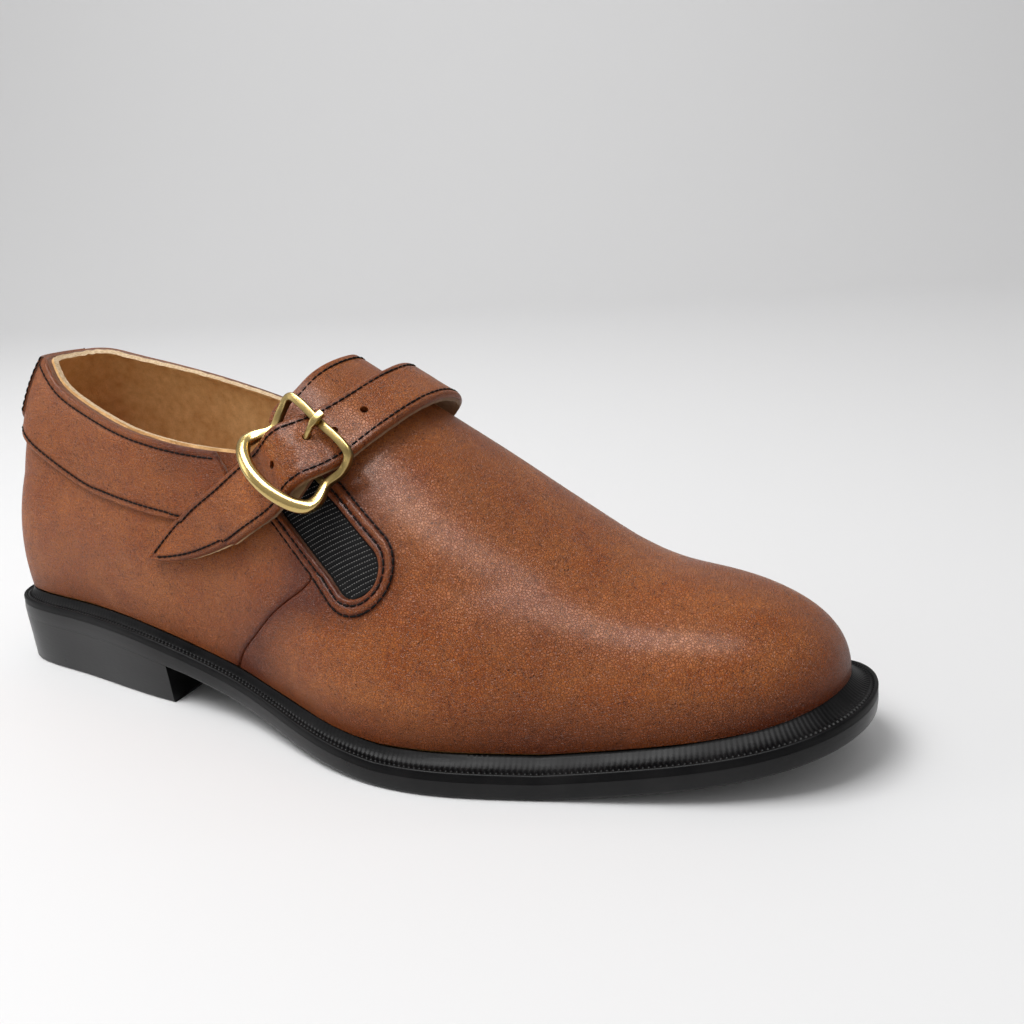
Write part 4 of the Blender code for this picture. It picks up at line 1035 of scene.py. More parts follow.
quarter_place = both_quarters(finer_at_end(118, 0.15), np.linspace(0, 1, 76))
quarter_skin = skin(quarter_place)
quarter_roll = roll_over(nearest_seam(quarter_skin), SEAM_ROLL)
quarter_relief = creases_at(quarter_skin) - SEAM_DEPTH * (1 - quarter_roll)
shell("quarters", [skin(quarter_place, quarter_relief)], [skin(quarter_place, -SKIN_THICKNESS)], CALF,
      values={"burnish_and_shade": [burnish_at(quarter_skin)]})

# %% [markdown]
# ## Vamp and tongue
# One hide runs from the toe over the instep to the tongue's round end. It is built from four
# patches that share their borders: the tongue between the two slots, a wing on each side down
# to the seam, and the toe. Merging equal points joins them into one seamless skin.

# %% Vamp
WING_COUNT = 46
CORNER_TURN = math.atan2(SLOT_RUN[1], -SLOT_RUN[0])


def with_x(place):
    """(angle, girth) as (distance along, girth)."""
    return np.stack([along_of(place[:, 0]), place[:, 1]], 1)


def tongue_border(side, count):
    """From the tongue's end down the slot's front side and round to its far corner."""
    line = slot_side(side, 1, np.linspace(tongue_corner(side), 0, 60))
    arc = slot_arc(side, HALF_PI, CORNER_TURN, 30)[1:]
    return even_path(from_side(side, np.vstack([line, arc])), np.linspace(0, 1, count))


def tongue_patch(across_count, down_count):
    """The patch between the slots, and the line across the vamp where it ends."""
    left, right = tongue_border("lateral", down_count), tongue_border("medial", down_count)
    across = np.linspace(0, 1, across_count)
    girth = left[0, 1] + (right[0, 1] - left[0, 1]) * across
    end_x = column_spline(TONGUE_END, 1, SOLE_LENGTH)(2 * across - 1)
    left_x, right_x = with_x(left), with_x(right)
    top = np.stack([end_x, girth], 1)
    top[0], top[-1] = left_x[0], right_x[0]
    far = left_x[-1] + (right_x[-1] - left_x[-1]) * across[:, None]
    down = np.mean([(line[:, 0] - line[0, 0]) / (line[-1, 0] - line[0, 0]) for line in (left_x, right_x)],
                   axis=0)
    grid = coons(top, far, left_x, right_x, down=down)
    return np.stack([angle_of(grid[..., 0]), grid[..., 1]], -1), far


def wing_patch(side, shares, down_count):
    """Rows along the slot from its far corner to the seam, columns down to the feather."""
    arc = slot_arc(side, CORNER_TURN, -HALF_PI, 60)
    rear = slot_side(side, -1, np.linspace(0, SEAM_AT_SLOT, 20)[1:])
    top = even_path(from_side(side, np.vstack([arc, rear])), shares)
    seam = even_path(seam_line(side, 80), np.linspace(0, 1, down_count))
    seam[0] = top[-1]
    edge = side_sign(side) * 90.0
    bottom = np.stack([top[0, 0] + (seam[-1, 0] - top[0, 0]) * shares, np.full(len(shares), edge)], 1)
    ahead = np.stack([np.full(down_count, top[0, 0]), np.linspace(top[0, 1], edge, down_count)], 1)
    return coons(top, bottom, ahead, seam, over=shares)


def toe_patch(wings, far, count):
    """From the line across the vamp to the tip: each line's angle runs on to half a turn."""
    lateral, medial = wings["lateral"][0][::-1], wings["medial"][0]
    start = np.vstack([lateral, np.stack([angle_of(far[1:-1, 0]), far[1:-1, 1]], 1), medial])
    share = np.linspace(0, 1, count)[:, None]
    angle = start[None, :, 0] + (math.pi - start[None, :, 0]) * share
    return np.stack([angle, np.broadcast_to(start[:, 1], angle.shape)], -1)


tongue, far_line = tongue_patch(91, 84)
wings = {side: wing_patch(side, finer_at_end(54, 0.04), WING_COUNT) for side in SIDES}
vamp_places = [tongue, wings["lateral"], wings["medial"], toe_patch(wings, far_line, 110)]
tongue_end_path = skin(tongue[:, 0])
slot_cuts = {}
for side in SIDES:
    cut_line = slot_line(side, 0.0, SEAM_AT_SLOT, tongue_corner(side))
    slot_cuts[side] = skin(from_side(side, cut_line))
TONGUE_STITCH = 0.0024


def vamp_relief(points):
    """Rolls down at the seam, thins at the tongue's cut end, and dips under the stitches."""
    end = nearest(points, tongue_end_path)
    cut = np.minimum(end, np.minimum(nearest(points, slot_cuts["lateral"]),
                                     nearest(points, slot_cuts["medial"])))
    seam_dip = SEAM_DEPTH * (1 - roll_over(nearest_seam(points), SEAM_ROLL))
    cut_dip = 0.0005 * (1 - roll_over(cut, 0.0006))
    return creases_at(points) - seam_dip - cut_dip - 0.00018 * bell(end, TONGUE_STITCH, GROOVE_WIDTH)


vamp_skins = [skin(place) for place in vamp_places]
vamp_outer = [skin(place, vamp_relief(points)) for place, points in zip(vamp_places, vamp_skins)]
vamp_inner = [skin(place, -LEATHER) for place in vamp_places]
shell("vamp", vamp_outer, vamp_inner, [cognac, lining_leather, cut_edge],
      replaces=("upper",), values={"burnish_and_shade": [burnish_at(points) for points in vamp_skins]})

# %% [markdown]
# ## Lining
# The lining is a second skin inside the quarters. Its cut edge stands a little above the
# topline as a pale, slightly ragged ring, which is what shows first when one looks in.

# %% Quarter lining
LINING_STANDS = 0.0009
LINING_HEIGHT = 0.075
LINING_SWELL = 0.0006
lining_place = both_quarters(np.linspace(0, 1, 150), packed_shares(40, LINING_HEIGHT, 0.002), LINING_STANDS)
lining_skin = skin(lining_place)
top_gap = run_lengths(lining_skin, 1)
ragged = 0.00022 * ripple(lining_skin, 0.0022, 21) * (top_gap < 0.0012)
lining_outer = skin(lining_place, -SKIN_THICKNESS + ragged)
thickness = LINING_THICKNESS + LINING_SWELL * np.exp(-top_gap / 0.004)
lining_inner = skin(lining_place, -SKIN_THICKNESS - thickness + ragged)
shell("quarter_lining", [lining_inner], [lining_outer], [lining_leather, lining_leather, raw_edge])

# %% [markdown]
# ## Collar band and heel tab
# The collar band is a strip of the same calf laid round the heel. Its lower edge is cut, lifts
# a little and is sewn down, and a small tab covers the back seam. The tab follows the band at
# one more thickness.

# %% Collar band
BAND_THICKNESS = OVERLAY + GAP
BAND_WIDTH = 0.027
BAND_ROLL = 0.0011
BAND_STITCH = 0.0023
TOPLINE_STITCH = 0.0030


def band_half(side, along, shares):
    """Rows from the back of the heel to the band's front end, columns from its lower edge to the topline."""
    ends = np.array(BAND_END)
    limit = np.interp(shares, ends[:, 0], ends[:, 1 if side == "lateral" else 2]) * SOLE_LENGTH
    angle = along[:, None] * angle_of(limit)[None, :]
    x = along_of(angle)
    low, high = collar_height(side, x, 3), collar_height(side, x)
    u = np.maximum(angle, 1e-9) * side_sign(side)
    girth = np.degrees(HALF_PI - rise_at(u, low + (high - low) * shares)) * side_sign(side)
    return np.stack([angle, girth], -1)


band_shares = packed_shares(34, BAND_WIDTH, BAND_ROLL)
band_along = np.concatenate([np.linspace(0, 0.985, 130), [0.99, 0.994, 0.997, 1.0]])
band_halves = [band_half(side, band_along, band_shares) for side in SIDES]
band_place = np.vstack([band_halves[0][::-1], band_halves[1][1:]])
band_skin = skin(band_place)
from_low = run_lengths(band_skin, 1)
from_top = from_low[:, -1:] - from_low
band_edge = edge_distance(band_skin)
band_grooves = bell(from_low, BAND_STITCH, GROOVE_WIDTH) + bell(from_top, TOPLINE_STITCH, GROOVE_WIDTH)
band_roll = roll_over(band_edge, BAND_ROLL)
band_height = 0.0002 + BAND_THICKNESS * (0.25 + 0.75 * band_roll) - GROOVE_DEPTH * band_grooves
band_height += 0.00010 * ripple(band_skin, 0.018, 8)
band_shade = burnish_at(band_skin) + 0.35 * (1 - smooth_step(from_top, 0.0, 0.003))
# Both stitch rows add painted shade in their grooves.
band_shade += stitch_shade(from_low - BAND_STITCH) + stitch_shade(from_top - TOPLINE_STITCH)
shell("collar_band_leather", [skin(band_place, band_height)], [skin(band_place, 0.00002)], CALF,
      replaces=("collar_band",), values={"burnish_and_shade": [np.clip(band_shade, 0, 1)]})


# %% Heel tab
def tab_grid(across, down):
    """A strip over the back seam, a little shorter at its sides."""
    u = np.repeat((across * angle_of(BACK + 0.0042))[:, None], len(down), 1)
    top = COLLAR[0][1] * INSTEP_HEIGHT - 2 * GAP
    depth = TAB_HEIGHT * (1 - 0.25 * across[:, None] ** 2)
    rise = rise_at(u, top - depth * down[None, :])
    return u, rise


TAB_ROLL = 0.0008
tab_u, tab_rise = tab_grid(2 * packed_shares(26, TAB_WIDTH, TAB_ROLL) - 1,
                           packed_shares(30, TAB_HEIGHT, TAB_ROLL))
tab_base = form(tab_u, tab_rise)
tab_roll = roll_over(edge_distance(tab_base), TAB_ROLL)
tab_height = BAND_THICKNESS + 0.0003 + OVERLAY * 0.75 * (0.2 + 0.8 * tab_roll)
shell("heel_tab_leather", [form(tab_u, tab_rise, tab_height)], [form(tab_u, tab_rise, BAND_THICKNESS)], CALF,
      replaces=("heel_tab",), values={"burnish_and_shade": [0.25 + 0.35 * (1 - tab_roll)]})

# %% [markdown]
# ## Gore rims and elastic
# The rim is the vamp's own leather turned in round the slot and sewn twice, so it puckers: high
# beside the cut, dipped at each row of stitches, with painted shade in those grooves, and low at
# the outer row. The elastic is woven: dark ribs across the slot, with short yarns between them
# whose pale grey is a painted sheen.

# %% Gore rims
RIM_STITCHES = (0.0017, 0.0042)
RIM_THREAD_HEIGHTS = (0.00088, 0.00040)
RIM_HEIGHT = 0.00105


def rim_place(side, across):
    """The slot's line at several distances, as a grid."""
    lines = [resample(slot_line(side, gap, *RIM_LENGTHS[side]), count=170) for gap in across]
    return np.stack([from_side(side, line) for line in lines], 1)


def make_rim(side):
    """Height across the rim: up at the cut, down in two stages, and a groove at each row of stitches."""
    across = np.concatenate([np.linspace(0.0, 0.0010, 6), np.linspace(0.0013, RIM_WIDTH - 0.0003, 16),
                             [RIM_WIDTH - 0.0001, RIM_WIDTH]])
    place = rim_place(side, across)
    base = skin(place)
    rise = RIM_HEIGHT * roll_over(across + 0.00002, 0.0010)
    rise = rise * (1 - 0.45 * smooth_step(across, 0.0030, 0.0043))
    rise = rise * (0.25 + 0.75 * roll_over(RIM_WIDTH - across, 0.0007))
    for spot in RIM_STITCHES:
        rise = rise - 0.00028 * bell(across, spot, 0.00045)
    height = 0.0001 + rise[None, :] + 0.00010 * ripple(base, 0.0045, 31)
    # The two stitch rows add painted shade in their grooves.
    lines = sum(stitch_shade(across - spot) for spot in RIM_STITCHES)
    shade = np.clip(burnish_at(base) * 0.7 + 0.30 * np.exp(-(across / 0.0008)) + 0.05 + lines, 0, 1)
    shell("gore_rim_" + side + "_leather", [skin(place, height)], [skin(place, -0.0012)], CALF,
          replaces=("gore_rim_" + side,), values={"burnish_and_shade": [shade]})


for side in SIDES:
    make_rim(side)

# %% Woven elastic
RIB_PITCH = 0.0015
RIB_HEIGHT = 0.00030
YARN_PITCH = 0.00078
ELASTIC_DEPTH = 0.00085
RIB_BOW = 0.25
RIB_TILT = 0.5


def gore_top(side):
    """How far up the slot the elastic reaches."""
    return (GORE_TOP - slot_centre(side)[1]) / SLOT_RUN[1]


def gore_points(side, up, across, depth):
    """Points of the elastic: up along the slot from its round end's centre, and across its width."""
    flat = slot_centre(side) + SLOT_RUN * up[..., None] + SLOT_FRONT * across[..., None]
    return skin(from_side(side, flat), depth)


def make_elastic(side):
    """A sheet whose height follows |sin| along the slot; the ribs lean, and bow a little in the middle."""
    half = SLOT_HALF_WIDTH - 0.0001
    up = np.concatenate([np.linspace(gore_top(side), 0, 260), -half * np.sin(np.linspace(0, 1.50, 60))[1:]])
    wide = np.where(up >= 0, half, np.sqrt(np.maximum(half ** 2 - up ** 2, 0)))
    across = wide[:, None] * np.linspace(-1, 1, 25)
    up = np.broadcast_to(up[:, None], across.shape)
    rib = np.abs(np.sin(math.pi * ((up + RIB_TILT * across) / RIB_PITCH + RIB_BOW * (across / half) ** 2)))
    depth = -ELASTIC_DEPTH + RIB_HEIGHT * rib ** 0.7
    shell("gore_elastic_" + side, [gore_points(side, up, across, depth)],
          [gore_points(side, up, across, np.full_like(depth, -LEATHER * 0.8))], [elastic_dark],
          replaces=("gore_" + side,))


for side in SIDES:
    make_elastic(side)

# %% [markdown]
# ## Sole, heel and insole
# The black unit is three pieces: the heel block, the outsole and the welt. Their sides are
# inked together, so no joint shows. Each is lofted through sections across the shoe, from the
# back to the tip, and its edge is a quarter circle worked out point by point.


# %% Plates with the sole's outline
def plate_sections(levels, angles, across=5):
    """One closed section per angle: up the lateral side through all levels, across, down the medial one."""
    left, right = [], []
    for inset, height in levels:
        lateral, medial = sides_at(inset_outline(inset), angles)
        left.append(np.column_stack([lateral, height(lateral[:, 0])]))
        right.append(np.column_stack([medial, height(medial[:, 0])]))
    share = np.linspace(0, 1, across + 2)[1:-1]
    top = [left[-1] + (right[-1] - left[-1]) * s for s in share]
    bottom = [right[0] + (left[0] - right[0]) * s for s in share]
    return np.stack(left + top + right[::-1] + bottom, 1) - [HEEL_CENTRE, 0, 0]


def quarter_round(radius, steps=6):
    """(inset, height) along a quarter circle at a lower edge."""
    turn = np.linspace(0, HALF_PI, steps)
    return radius * (1 - np.sin(turn)), radius * (1 - np.cos(turn))


def sole_edge(x):
    """Radius of the outsole's lower edge: small over the heel, full ahead of it."""
    return 0.0003 + (EDGE_ROUND - 0.0003) * smooth_step(x, HEEL_BREAST - 0.004, HEEL_BREAST + 0.010)


def sole_levels():
    """(inset, height) of the outsole's levels, from its rounded lower edge to its top."""
    inset, rise = quarter_round(1.0)
    levels = [(sole_edge(OUTER[:, 0]) * i, lambda x, r=r: underside(x) + r * sole_edge(x))
              for i, r in zip(inset, rise)]
    levels.append((-0.00015, lambda x: underside(x) + OUTSOLE_THICKNESS * 0.62))
    levels.append((0.0, lambda x: underside(x) + OUTSOLE_THICKNESS + GAP * 0.5))
    return levels


sole_angles = np.linspace(0, math.pi, 261)
loft("outsole_unit", plate_sections(sole_levels(), sole_angles), [edge_black],
     replaces=("outsole",), sharp=45)

heel_inset, heel_rise = quarter_round(0.0007)
heel_levels = [(HEEL_TAPER + i, lambda x, r=r: 0 * x + r) for i, r in zip(heel_inset, heel_rise)]
heel_levels.append((HEEL_TAPER * 0.55, lambda x: underside(x) * 0.5))
heel_levels.append((0.00002, lambda x: underside(x) + 0.0001))
heel_angles = np.linspace(0, math.acos(1 - 2 * HEEL_BREAST / SOLE_LENGTH), 90)
heel_sections = plate_sections(heel_levels, heel_angles)
breast = HEEL_BREAST - HEEL_CENTRE
near_breast = smooth_step(heel_sections[..., 0], breast - 0.010, breast - 0.002)
hollow = BREAST_HOLLOW * (1 - np.clip((heel_sections[..., 1] / (0.27 * BALL_WIDTH)) ** 2, 0, 1))
heel_sections[..., 0] -= near_breast * hollow
loft("heel_block", heel_sections, [edge_black], replaces=("heel",), sharp=45)

insole_inset = feather_inset(OUTER[:, 0]) + LEATHER + 0.0001
insole_levels = [(insole_inset + 0.0004, welt_base),
                 (insole_inset, lambda x: feather_height(x) + INSOLE_THICKNESS - INSOLE_SINK - 0.0008),
                 (insole_inset + 0.0006, lambda x: feather_height(x) + INSOLE_THICKNESS - INSOLE_SINK)]
insole_angles = np.linspace(0, math.pi, 201)
loft("insole_sock", plate_sections(insole_levels, insole_angles, across=9), [lining_leather],
     replaces=("insole",), sharp=60)

# %% [markdown]
# ## Welt
# The welt is a strip sewn all round. Its top rises from a bright bead at the outer edge to the
# upper, and a toothed wheel has pressed it: fine ridges stand side by side up to the leather.
# The ridges are real geometry, a raised cosine along the outline, so they catch the light.

# %% Welt
TOOTH_PITCH = 0.00155
TOOTH_DEPTH = 0.00048
TOOTH_SAMPLES = 6
BEAD_END = 0.00255
outline_run = np.linalg.norm(OUTER - np.roll(OUTER, 1, 0), axis=1).sum()
teeth = int(round(outline_run / TOOTH_PITCH))
fine_outline = closed_outline(teeth * 12)
fine_outline = resample(np.vstack([fine_outline, fine_outline[:1]]), count=teeth * TOOTH_SAMPLES + 1)[:-1]


def welt_profile(x):
    """(inset, height above the welt's base, tooth share) from the outer foot over the bead to the upper."""
    width = feather_inset(x)
    full = WELT_THICKNESS
    last = FEATHER_RISE + full + GAP
    rows = [(0.00005, -GAP * 0.6, 0), (0.0, full * 0.40, 0), (0.0, full * 0.78, 0),
            (0.00012, full * 0.93, 0), (0.00038, full * 1.02, 0), (0.00070, full * 1.04, 0),
            (0.00098, full * 0.98, 0), (0.00118, full * 0.86, 0.1), (0.00138, full * 0.98, 1),
            (0.00180, full * 1.06, 1), (0.00225, full * 1.02, 1), (0.00255, full * 0.92, 0.4)]
    points = [(np.full_like(x, i), np.full_like(x, h), t) for i, h, t in rows]
    for share, lift in ((0.3, 0.10), (0.6, 0.35), (0.85, 0.62), (1.0, 0.80)):
        inset = BEAD_END + (width - BEAD_END) * share
        points.append((inset, full * 0.92 + (last - full * 0.92) * lift, 0.15))
    points.append((width + 0.0016, np.full_like(x, last * 0.80), 0))
    points.append((width + 0.0016, np.full_like(x, -GAP * 0.5), 0))
    return points


fine_x = fine_outline[:, 0]
phase = np.arange(len(fine_outline)) / TOOTH_SAMPLES
tooth_wave = 0.5 - 0.5 * np.cos(2 * math.pi * phase)
welt_rows = []
for inset, height, tooth in welt_profile(fine_x):
    spot = inset_outline(inset, fine_outline)
    level = welt_base(fine_x) + height - TOOTH_DEPTH * tooth * tooth_wave
    welt_rows.append(np.column_stack([spot - [HEEL_CENTRE, 0], level]))
loft("welt_strip", np.stack(welt_rows, 1), [welt_black], replaces=("welt",), closed=True,
     sharp=60)
print("welt teeth:", teeth)

# %% [markdown]
# ## Strap
# The strap is calf on a pale backing, sewn along both edges. Its edges come from a table of
# rows that follow the photograph; between them it bulges over the buckle's bar and then lies
# down as a point. The calf's edge rolls, and the backing's raw edge shows below it.


# %% Strap
def strap_point(run, across, offset):
    """Row splines give both edges; the point between them lifts off the form by the row's own lift."""
    rows = np.array(STRAP)
    number = np.arange(len(rows))
    values = [natural_spline(number, column)(run) for column in rows.T]
    upper_x, upper_girth, lower_x, lower_girth, lift = values
    angle = angle_of((upper_x + (lower_x - upper_x) * across) * SOLE_LENGTH)
    girth = upper_girth + (lower_girth - upper_girth) * across
    return skin(np.stack([angle, girth], -1), GAP + OVERLAY + lift * STRAP_THICKNESS + offset)


BACKING = 0.0011
STRAP_STITCH = 0.0021
STRAP_ROLL = 0.0013
STRAP_WIDTH = 0.023
BULGE_ROW, BULGE_ROWS = 9.0, 1.3
TAIL_ROW, TAIL_ROWS = 13.2, 0.9
strap_run = np.concatenate([np.linspace(0, 15.9, 420), [15.94, 15.97, 16.0]])
strap_across = packed_shares(26, STRAP_WIDTH, STRAP_ROLL + 0.0001)
run_grid, across_grid = np.meshgrid(strap_run, strap_across, indexing="ij")
strap_base = strap_point(run_grid, across_grid, STRAP_THICKNESS)
strap_gap = edge_distance(strap_base, (0, 1, 1, 1))
bulge = bell(run_grid, BULGE_ROW, BULGE_ROWS)
wrinkle = 0.00010 * ripple(strap_base, 0.009, 3) + 0.00016 * bulge * ripple(strap_base, 0.0042, 4)
strap_top = BACKING + (STRAP_THICKNESS - BACKING) * (0.15 + 0.85 * roll_over(strap_gap, STRAP_ROLL))
strap_top += wrinkle - GROOVE_DEPTH * bell(strap_gap, STRAP_STITCH, GROOVE_WIDTH)
# Strap shade: darker at the rolled edges, painted shade in the stitch groove, slow clouds, painted shade over
# the bulge at the bar, and darker round the tail row.
strap_shade = 0.50 * (1 - smooth_step(strap_gap, 0.0, 0.0018)) + stitch_shade(strap_gap - STRAP_STITCH)
strap_shade += 0.16 * ripple(strap_base, 0.016, 16)
strap_shade += 0.16 * bulge * (0.5 + 0.5 * ripple(strap_base, 0.006, 6))
strap_shade += 0.25 * bell(run_grid, TAIL_ROW, TAIL_ROWS)
strap_calf = shell("strap_calf", [strap_point(run_grid, across_grid, strap_top)],
                   [strap_point(run_grid, across_grid, BACKING)], STRAP_CALF,
                   replaces=("strap",), values={"burnish_and_shade": [np.clip(strap_shade, 0, 1)]})
ragged_back = 0.0002 * ripple(strap_base, 0.002, 9) * (strap_gap < 0.001)
strap_backing = shell("strap_backing", [strap_point(run_grid, across_grid, BACKING - 0.00002)],
                      [strap_point(run_grid, across_grid, 0.00005 + ragged_back)],
                      [backing_edge, flesh_side, backing_edge],
                      values={"raw": [smooth_step(run_grid, 11.2, TAIL_ROW) + 0.25]})


def tube_between(name, low, high, radius):
    """A plain cutter along a line: a circle of 20 points carried from one end to the other."""
    sides = 20
    ahead = (high - low) / np.linalg.norm(high - low)
    side = np.cross(ahead, [0.0, 0.0, 1.0])
    side /= np.linalg.norm(side)
    up = np.cross(side, ahead)
    turn = np.linspace(0, 2 * math.pi, sides, endpoint=False)[:, None]
    ring = radius * (np.cos(turn) * side - np.sin(turn) * up)
    points = np.vstack([low + ring, high + ring])
    mesh = bpy.data.meshes.new(name)
    ends = [list(range(sides))[::-1], list(range(sides, 2 * sides))]
    mesh.from_pydata(points.tolist(), [], grid_quads(2, sides, False, True).tolist() + ends)
    return put(name, mesh)


def cut_holes(piece, cutters):
    """Boolean differences, worked out once and kept as the mesh."""
    for cutter in cutters:
        modifier = piece.modifiers.new("hole", "BOOLEAN")
        modifier.operation = "DIFFERENCE"
        modifier.solver = "EXACT"
        modifier.object = cutter
    graph = bpy.context.evaluated_depsgraph_get()
    done = bpy.data.meshes.new_from_object(piece.evaluated_get(graph))
    piece.modifiers.clear()
    piece.data = done


punches = []
for number, (row, share) in enumerate(STRAP_HOLES):
    low, high = strap_point(row, share, -0.002), strap_point(row, share, STRAP_THICKNESS + 0.002)
    punches.append(tube_between("strap_punch_%d" % (number + 1), low, high, HOLE_RADIUS))

# %% [markdown]
# ## Buckle
# The frame is one closed bar: squared at the back, waisted at its sides, and thick and round at
# the front, where it is rubbed bright. Its section is a superellipse, |x|^n + |y|^n = 1, whose
# power n falls from square to round on the way.


# %% Buckle axes
def buckle_axes():
    """Centre of the centre bar; then the ways from the back bar to the front, across, and out."""
    under = strap_point(BAR_ROW, 0.5, 0.0)
    out = strap_point(BAR_ROW, 0.5, 0.001) - under
    out /= np.linalg.norm(out)
    run = strap_point(BAR_ROW + 2, 0.5, 0.0) - strap_point(BAR_ROW - 1.5, 0.5, 0.0)
    run -= out * run.dot(out)
    run /= np.linalg.norm(run)
    twist = math.radians(BUCKLE_TWIST)
    run = run * math.cos(twist) + np.cross(out, run) * math.sin(twist)
    depth = 4 * GAP + CHAPE_THICKNESS + BAR_RADIUS
    return under - out * depth, run, np.cross(out, run), out


BUCKLE = buckle_axes()


def buckle_points(run, across, out):
    """Points given along, across and out from the buckle's centre."""
    centre, along, side, up = BUCKLE
    run, across, out = np.broadcast_arrays(run, across, out)
    return centre + along * run[..., None] + side * across[..., None] + up * out[..., None]


def frame_rise(share):
    """Height of the frame's side: a parabola from the back bar, through the centre bar, to the front."""
    rise = BACK_BAR_RISE * (share - CENTRE_BAR) * (share - 1) / CENTRE_BAR
    return rise + D_BAR_RISE * share * (share - CENTRE_BAR) / (1 - CENTRE_BAR)


def bar_sections(path, width, height, power, closed=False):
    """Superellipse rings along a path: cos and sin raised to 2/n, times half width and half height."""
    ahead = np.roll(path, -1, 0) - np.roll(path, 1, 0) if closed else np.gradient(path, axis=0)
    ahead /= np.linalg.norm(ahead, axis=1)[:, None]
    side = np.cross(ahead, BUCKLE[3])
    side /= np.linalg.norm(side, axis=1)[:, None]
    top = np.cross(side, ahead)
    turn = np.linspace(0, 2 * math.pi, 28, endpoint=False)[None, :]
    n = (np.zeros(len(path)) + power)[:, None]
    c, s = np.cos(turn), np.sin(turn)
    reach_side = np.sign(c) * np.abs(c) ** (2 / n) * (np.zeros(len(path)) + width)[:, None]
    reach_top = np.sign(s) * np.abs(s) ** (2 / n) * (np.zeros(len(path)) + height)[:, None]
    rings = path[:, None] + side[:, None] * reach_side[..., None] + top[:, None] * reach_top[..., None]
    return rings, reach_top


def frame_plan():
    """The frame's middle line in its own plane, smoothed by a spline that closes on itself."""
    half, corner, start = BUCKLE_WIDTH / 2, BUCKLE_CORNER, -BUCKLE_LENGTH * CENTRE_BAR
    side = [(start, 0.0), (start, half - corner)]
    for turn in np.radians([30, 60, 90]):
        side.append((start + corner * (1 - math.cos(turn)), half - corner + corner * math.sin(turn)))
    waist = column_spline(BUCKLE_SIDE, 1, half)
    for share in np.linspace(BUCKLE_SIDE[0][0], BUCKLE_SIDE[-1][0], 12)[1:]:
        side.append((start + BUCKLE_LENGTH * share, float(waist(share))))
    side.append((start + BUCKLE_LENGTH, 0.30 * half))
    other_side = [(run, -across) for run, across in side[:0:-1]]
    return closed_spline(np.array(side + [(start + BUCKLE_LENGTH * 1.01, 0.0)] + other_side), 260)


# %% Buckle frame, bar and prong
plan = frame_plan()
plan_share = (plan[:, 0] + BUCKLE_LENGTH * CENTRE_BAR) / BUCKLE_LENGTH
front = smooth_step(plan_share, 0.45, 0.92)
frame_path = buckle_points(plan[:, 0], plan[:, 1], frame_rise(plan_share))
bar_half = BAR_RADIUS + (D_BAR_RADIUS * 1.08 - BAR_RADIUS) * front
frame_rings, ring_top = bar_sections(frame_path, bar_half, bar_half * (1 - 0.12 * front), 5.0 - 2.7 * front,
                                     True)
rubbed = np.clip(0.15 + 0.55 * front[:, None] + 0.30 * ring_top / BAR_RADIUS, 0, 1)
loft("buckle_frame_brass", frame_rings, [brass], replaces=("buckle_frame",), closed=True,
     sharp=60, values={"rubbed": rubbed})
waist_half = float(column_spline(BUCKLE_SIDE, 1, BUCKLE_WIDTH / 2)(CENTRE_BAR))
centre_line = buckle_points(np.zeros(9), np.linspace(-waist_half, waist_half, 9), np.zeros(9))
bar_rings, _ = bar_sections(centre_line, BAR_RADIUS * 0.9, BAR_RADIUS * 0.9, 2.0)
loft("buckle_centre_bar", bar_rings, [brass],
     values={"rubbed": np.full(bar_rings.shape[:2], 0.2)})

way = BUCKLE_LENGTH * CENTRE_BAR
rest = BACK_BAR_RISE + BAR_RADIUS + PRONG_RADIUS + GAP
prong_share = np.linspace((BAR_RADIUS + PRONG_RADIUS) / way, PRONG[-1][0], 60)
prong_path = buckle_points(-way * prong_share, np.zeros(60), column_spline(PRONG, 1, rest)(prong_share))
tip = smooth_step(prong_share, 0.80, 0.92)
prong_wide, prong_tall = PRONG_RADIUS * (1 + 0.25 * tip), PRONG_RADIUS * (1 - 0.12 * tip)
prong_rings, _ = bar_sections(prong_path, prong_wide, prong_tall, 2.4 + 3.0 * tip)
loft("buckle_prong_brass", prong_rings, [brass], replaces=("buckle_prong",), sharp=60,
     values={"rubbed": np.full(prong_rings.shape[:2], 0.55)})

# %% Chape: the short strap that turns round the centre bar
turn_radius = BAR_RADIUS + GAP * 0.5
layers = []
for radius in (turn_radius, turn_radius + CHAPE_THICKNESS):
    turn = np.linspace(0, 1.35 * math.pi, 40)[:, None]
    bend = np.hstack([-radius * np.sin(turn), -radius * np.cos(turn)])
    lying = np.linspace(1, 0, 24, endpoint=False)[:, None]
    flat = np.hstack([CHAPE_LENGTH * lying, -radius - CHAPE_SLOPE * lying])
    layers.append(np.vstack([flat, bend]))
chape_across = (packed_shares(14, CHAPE_WIDTH, 0.0008) - 0.5) * CHAPE_WIDTH
chape = [buckle_points(layer[:, 0][:, None], chape_across[None, :], layer[:, 1][:, None])
         for layer in layers]
chape_calf = shell("chape_calf", [chape[1]], [chape[0]], STRAP_CALF,
                   replaces=("buckle_chape",), values={"burnish_and_shade": [np.full(chape[1].shape[:2], 0.35)]})

# %% Holes: three punched ones, and the slot that the prong passes through
slot_path = np.vstack([buckle_points(np.zeros(1), np.zeros(1), np.full(1, 0.10 * rest)), prong_path])
prong_punches = [tube_between("prong_punch_%d" % k, slot_path[k], slot_path[k + 6], PRONG_RADIUS + GAP)
                 for k in range(0, 42, 6)]
cut_holes(strap_calf, punches + prong_punches)
cut_holes(strap_backing, punches + prong_punches)
cut_holes(chape_calf, prong_punches)
for punch in punches + prong_punches:
    bpy.data.objects.remove(punch, do_unlink=True)

# %% [markdown]
# ## Stitches
# Every seam that shows is sewn with real threads: short rods laid along a line on the leather,
# their ends sunk into it. One function lays hundreds of them at once, as arrays.


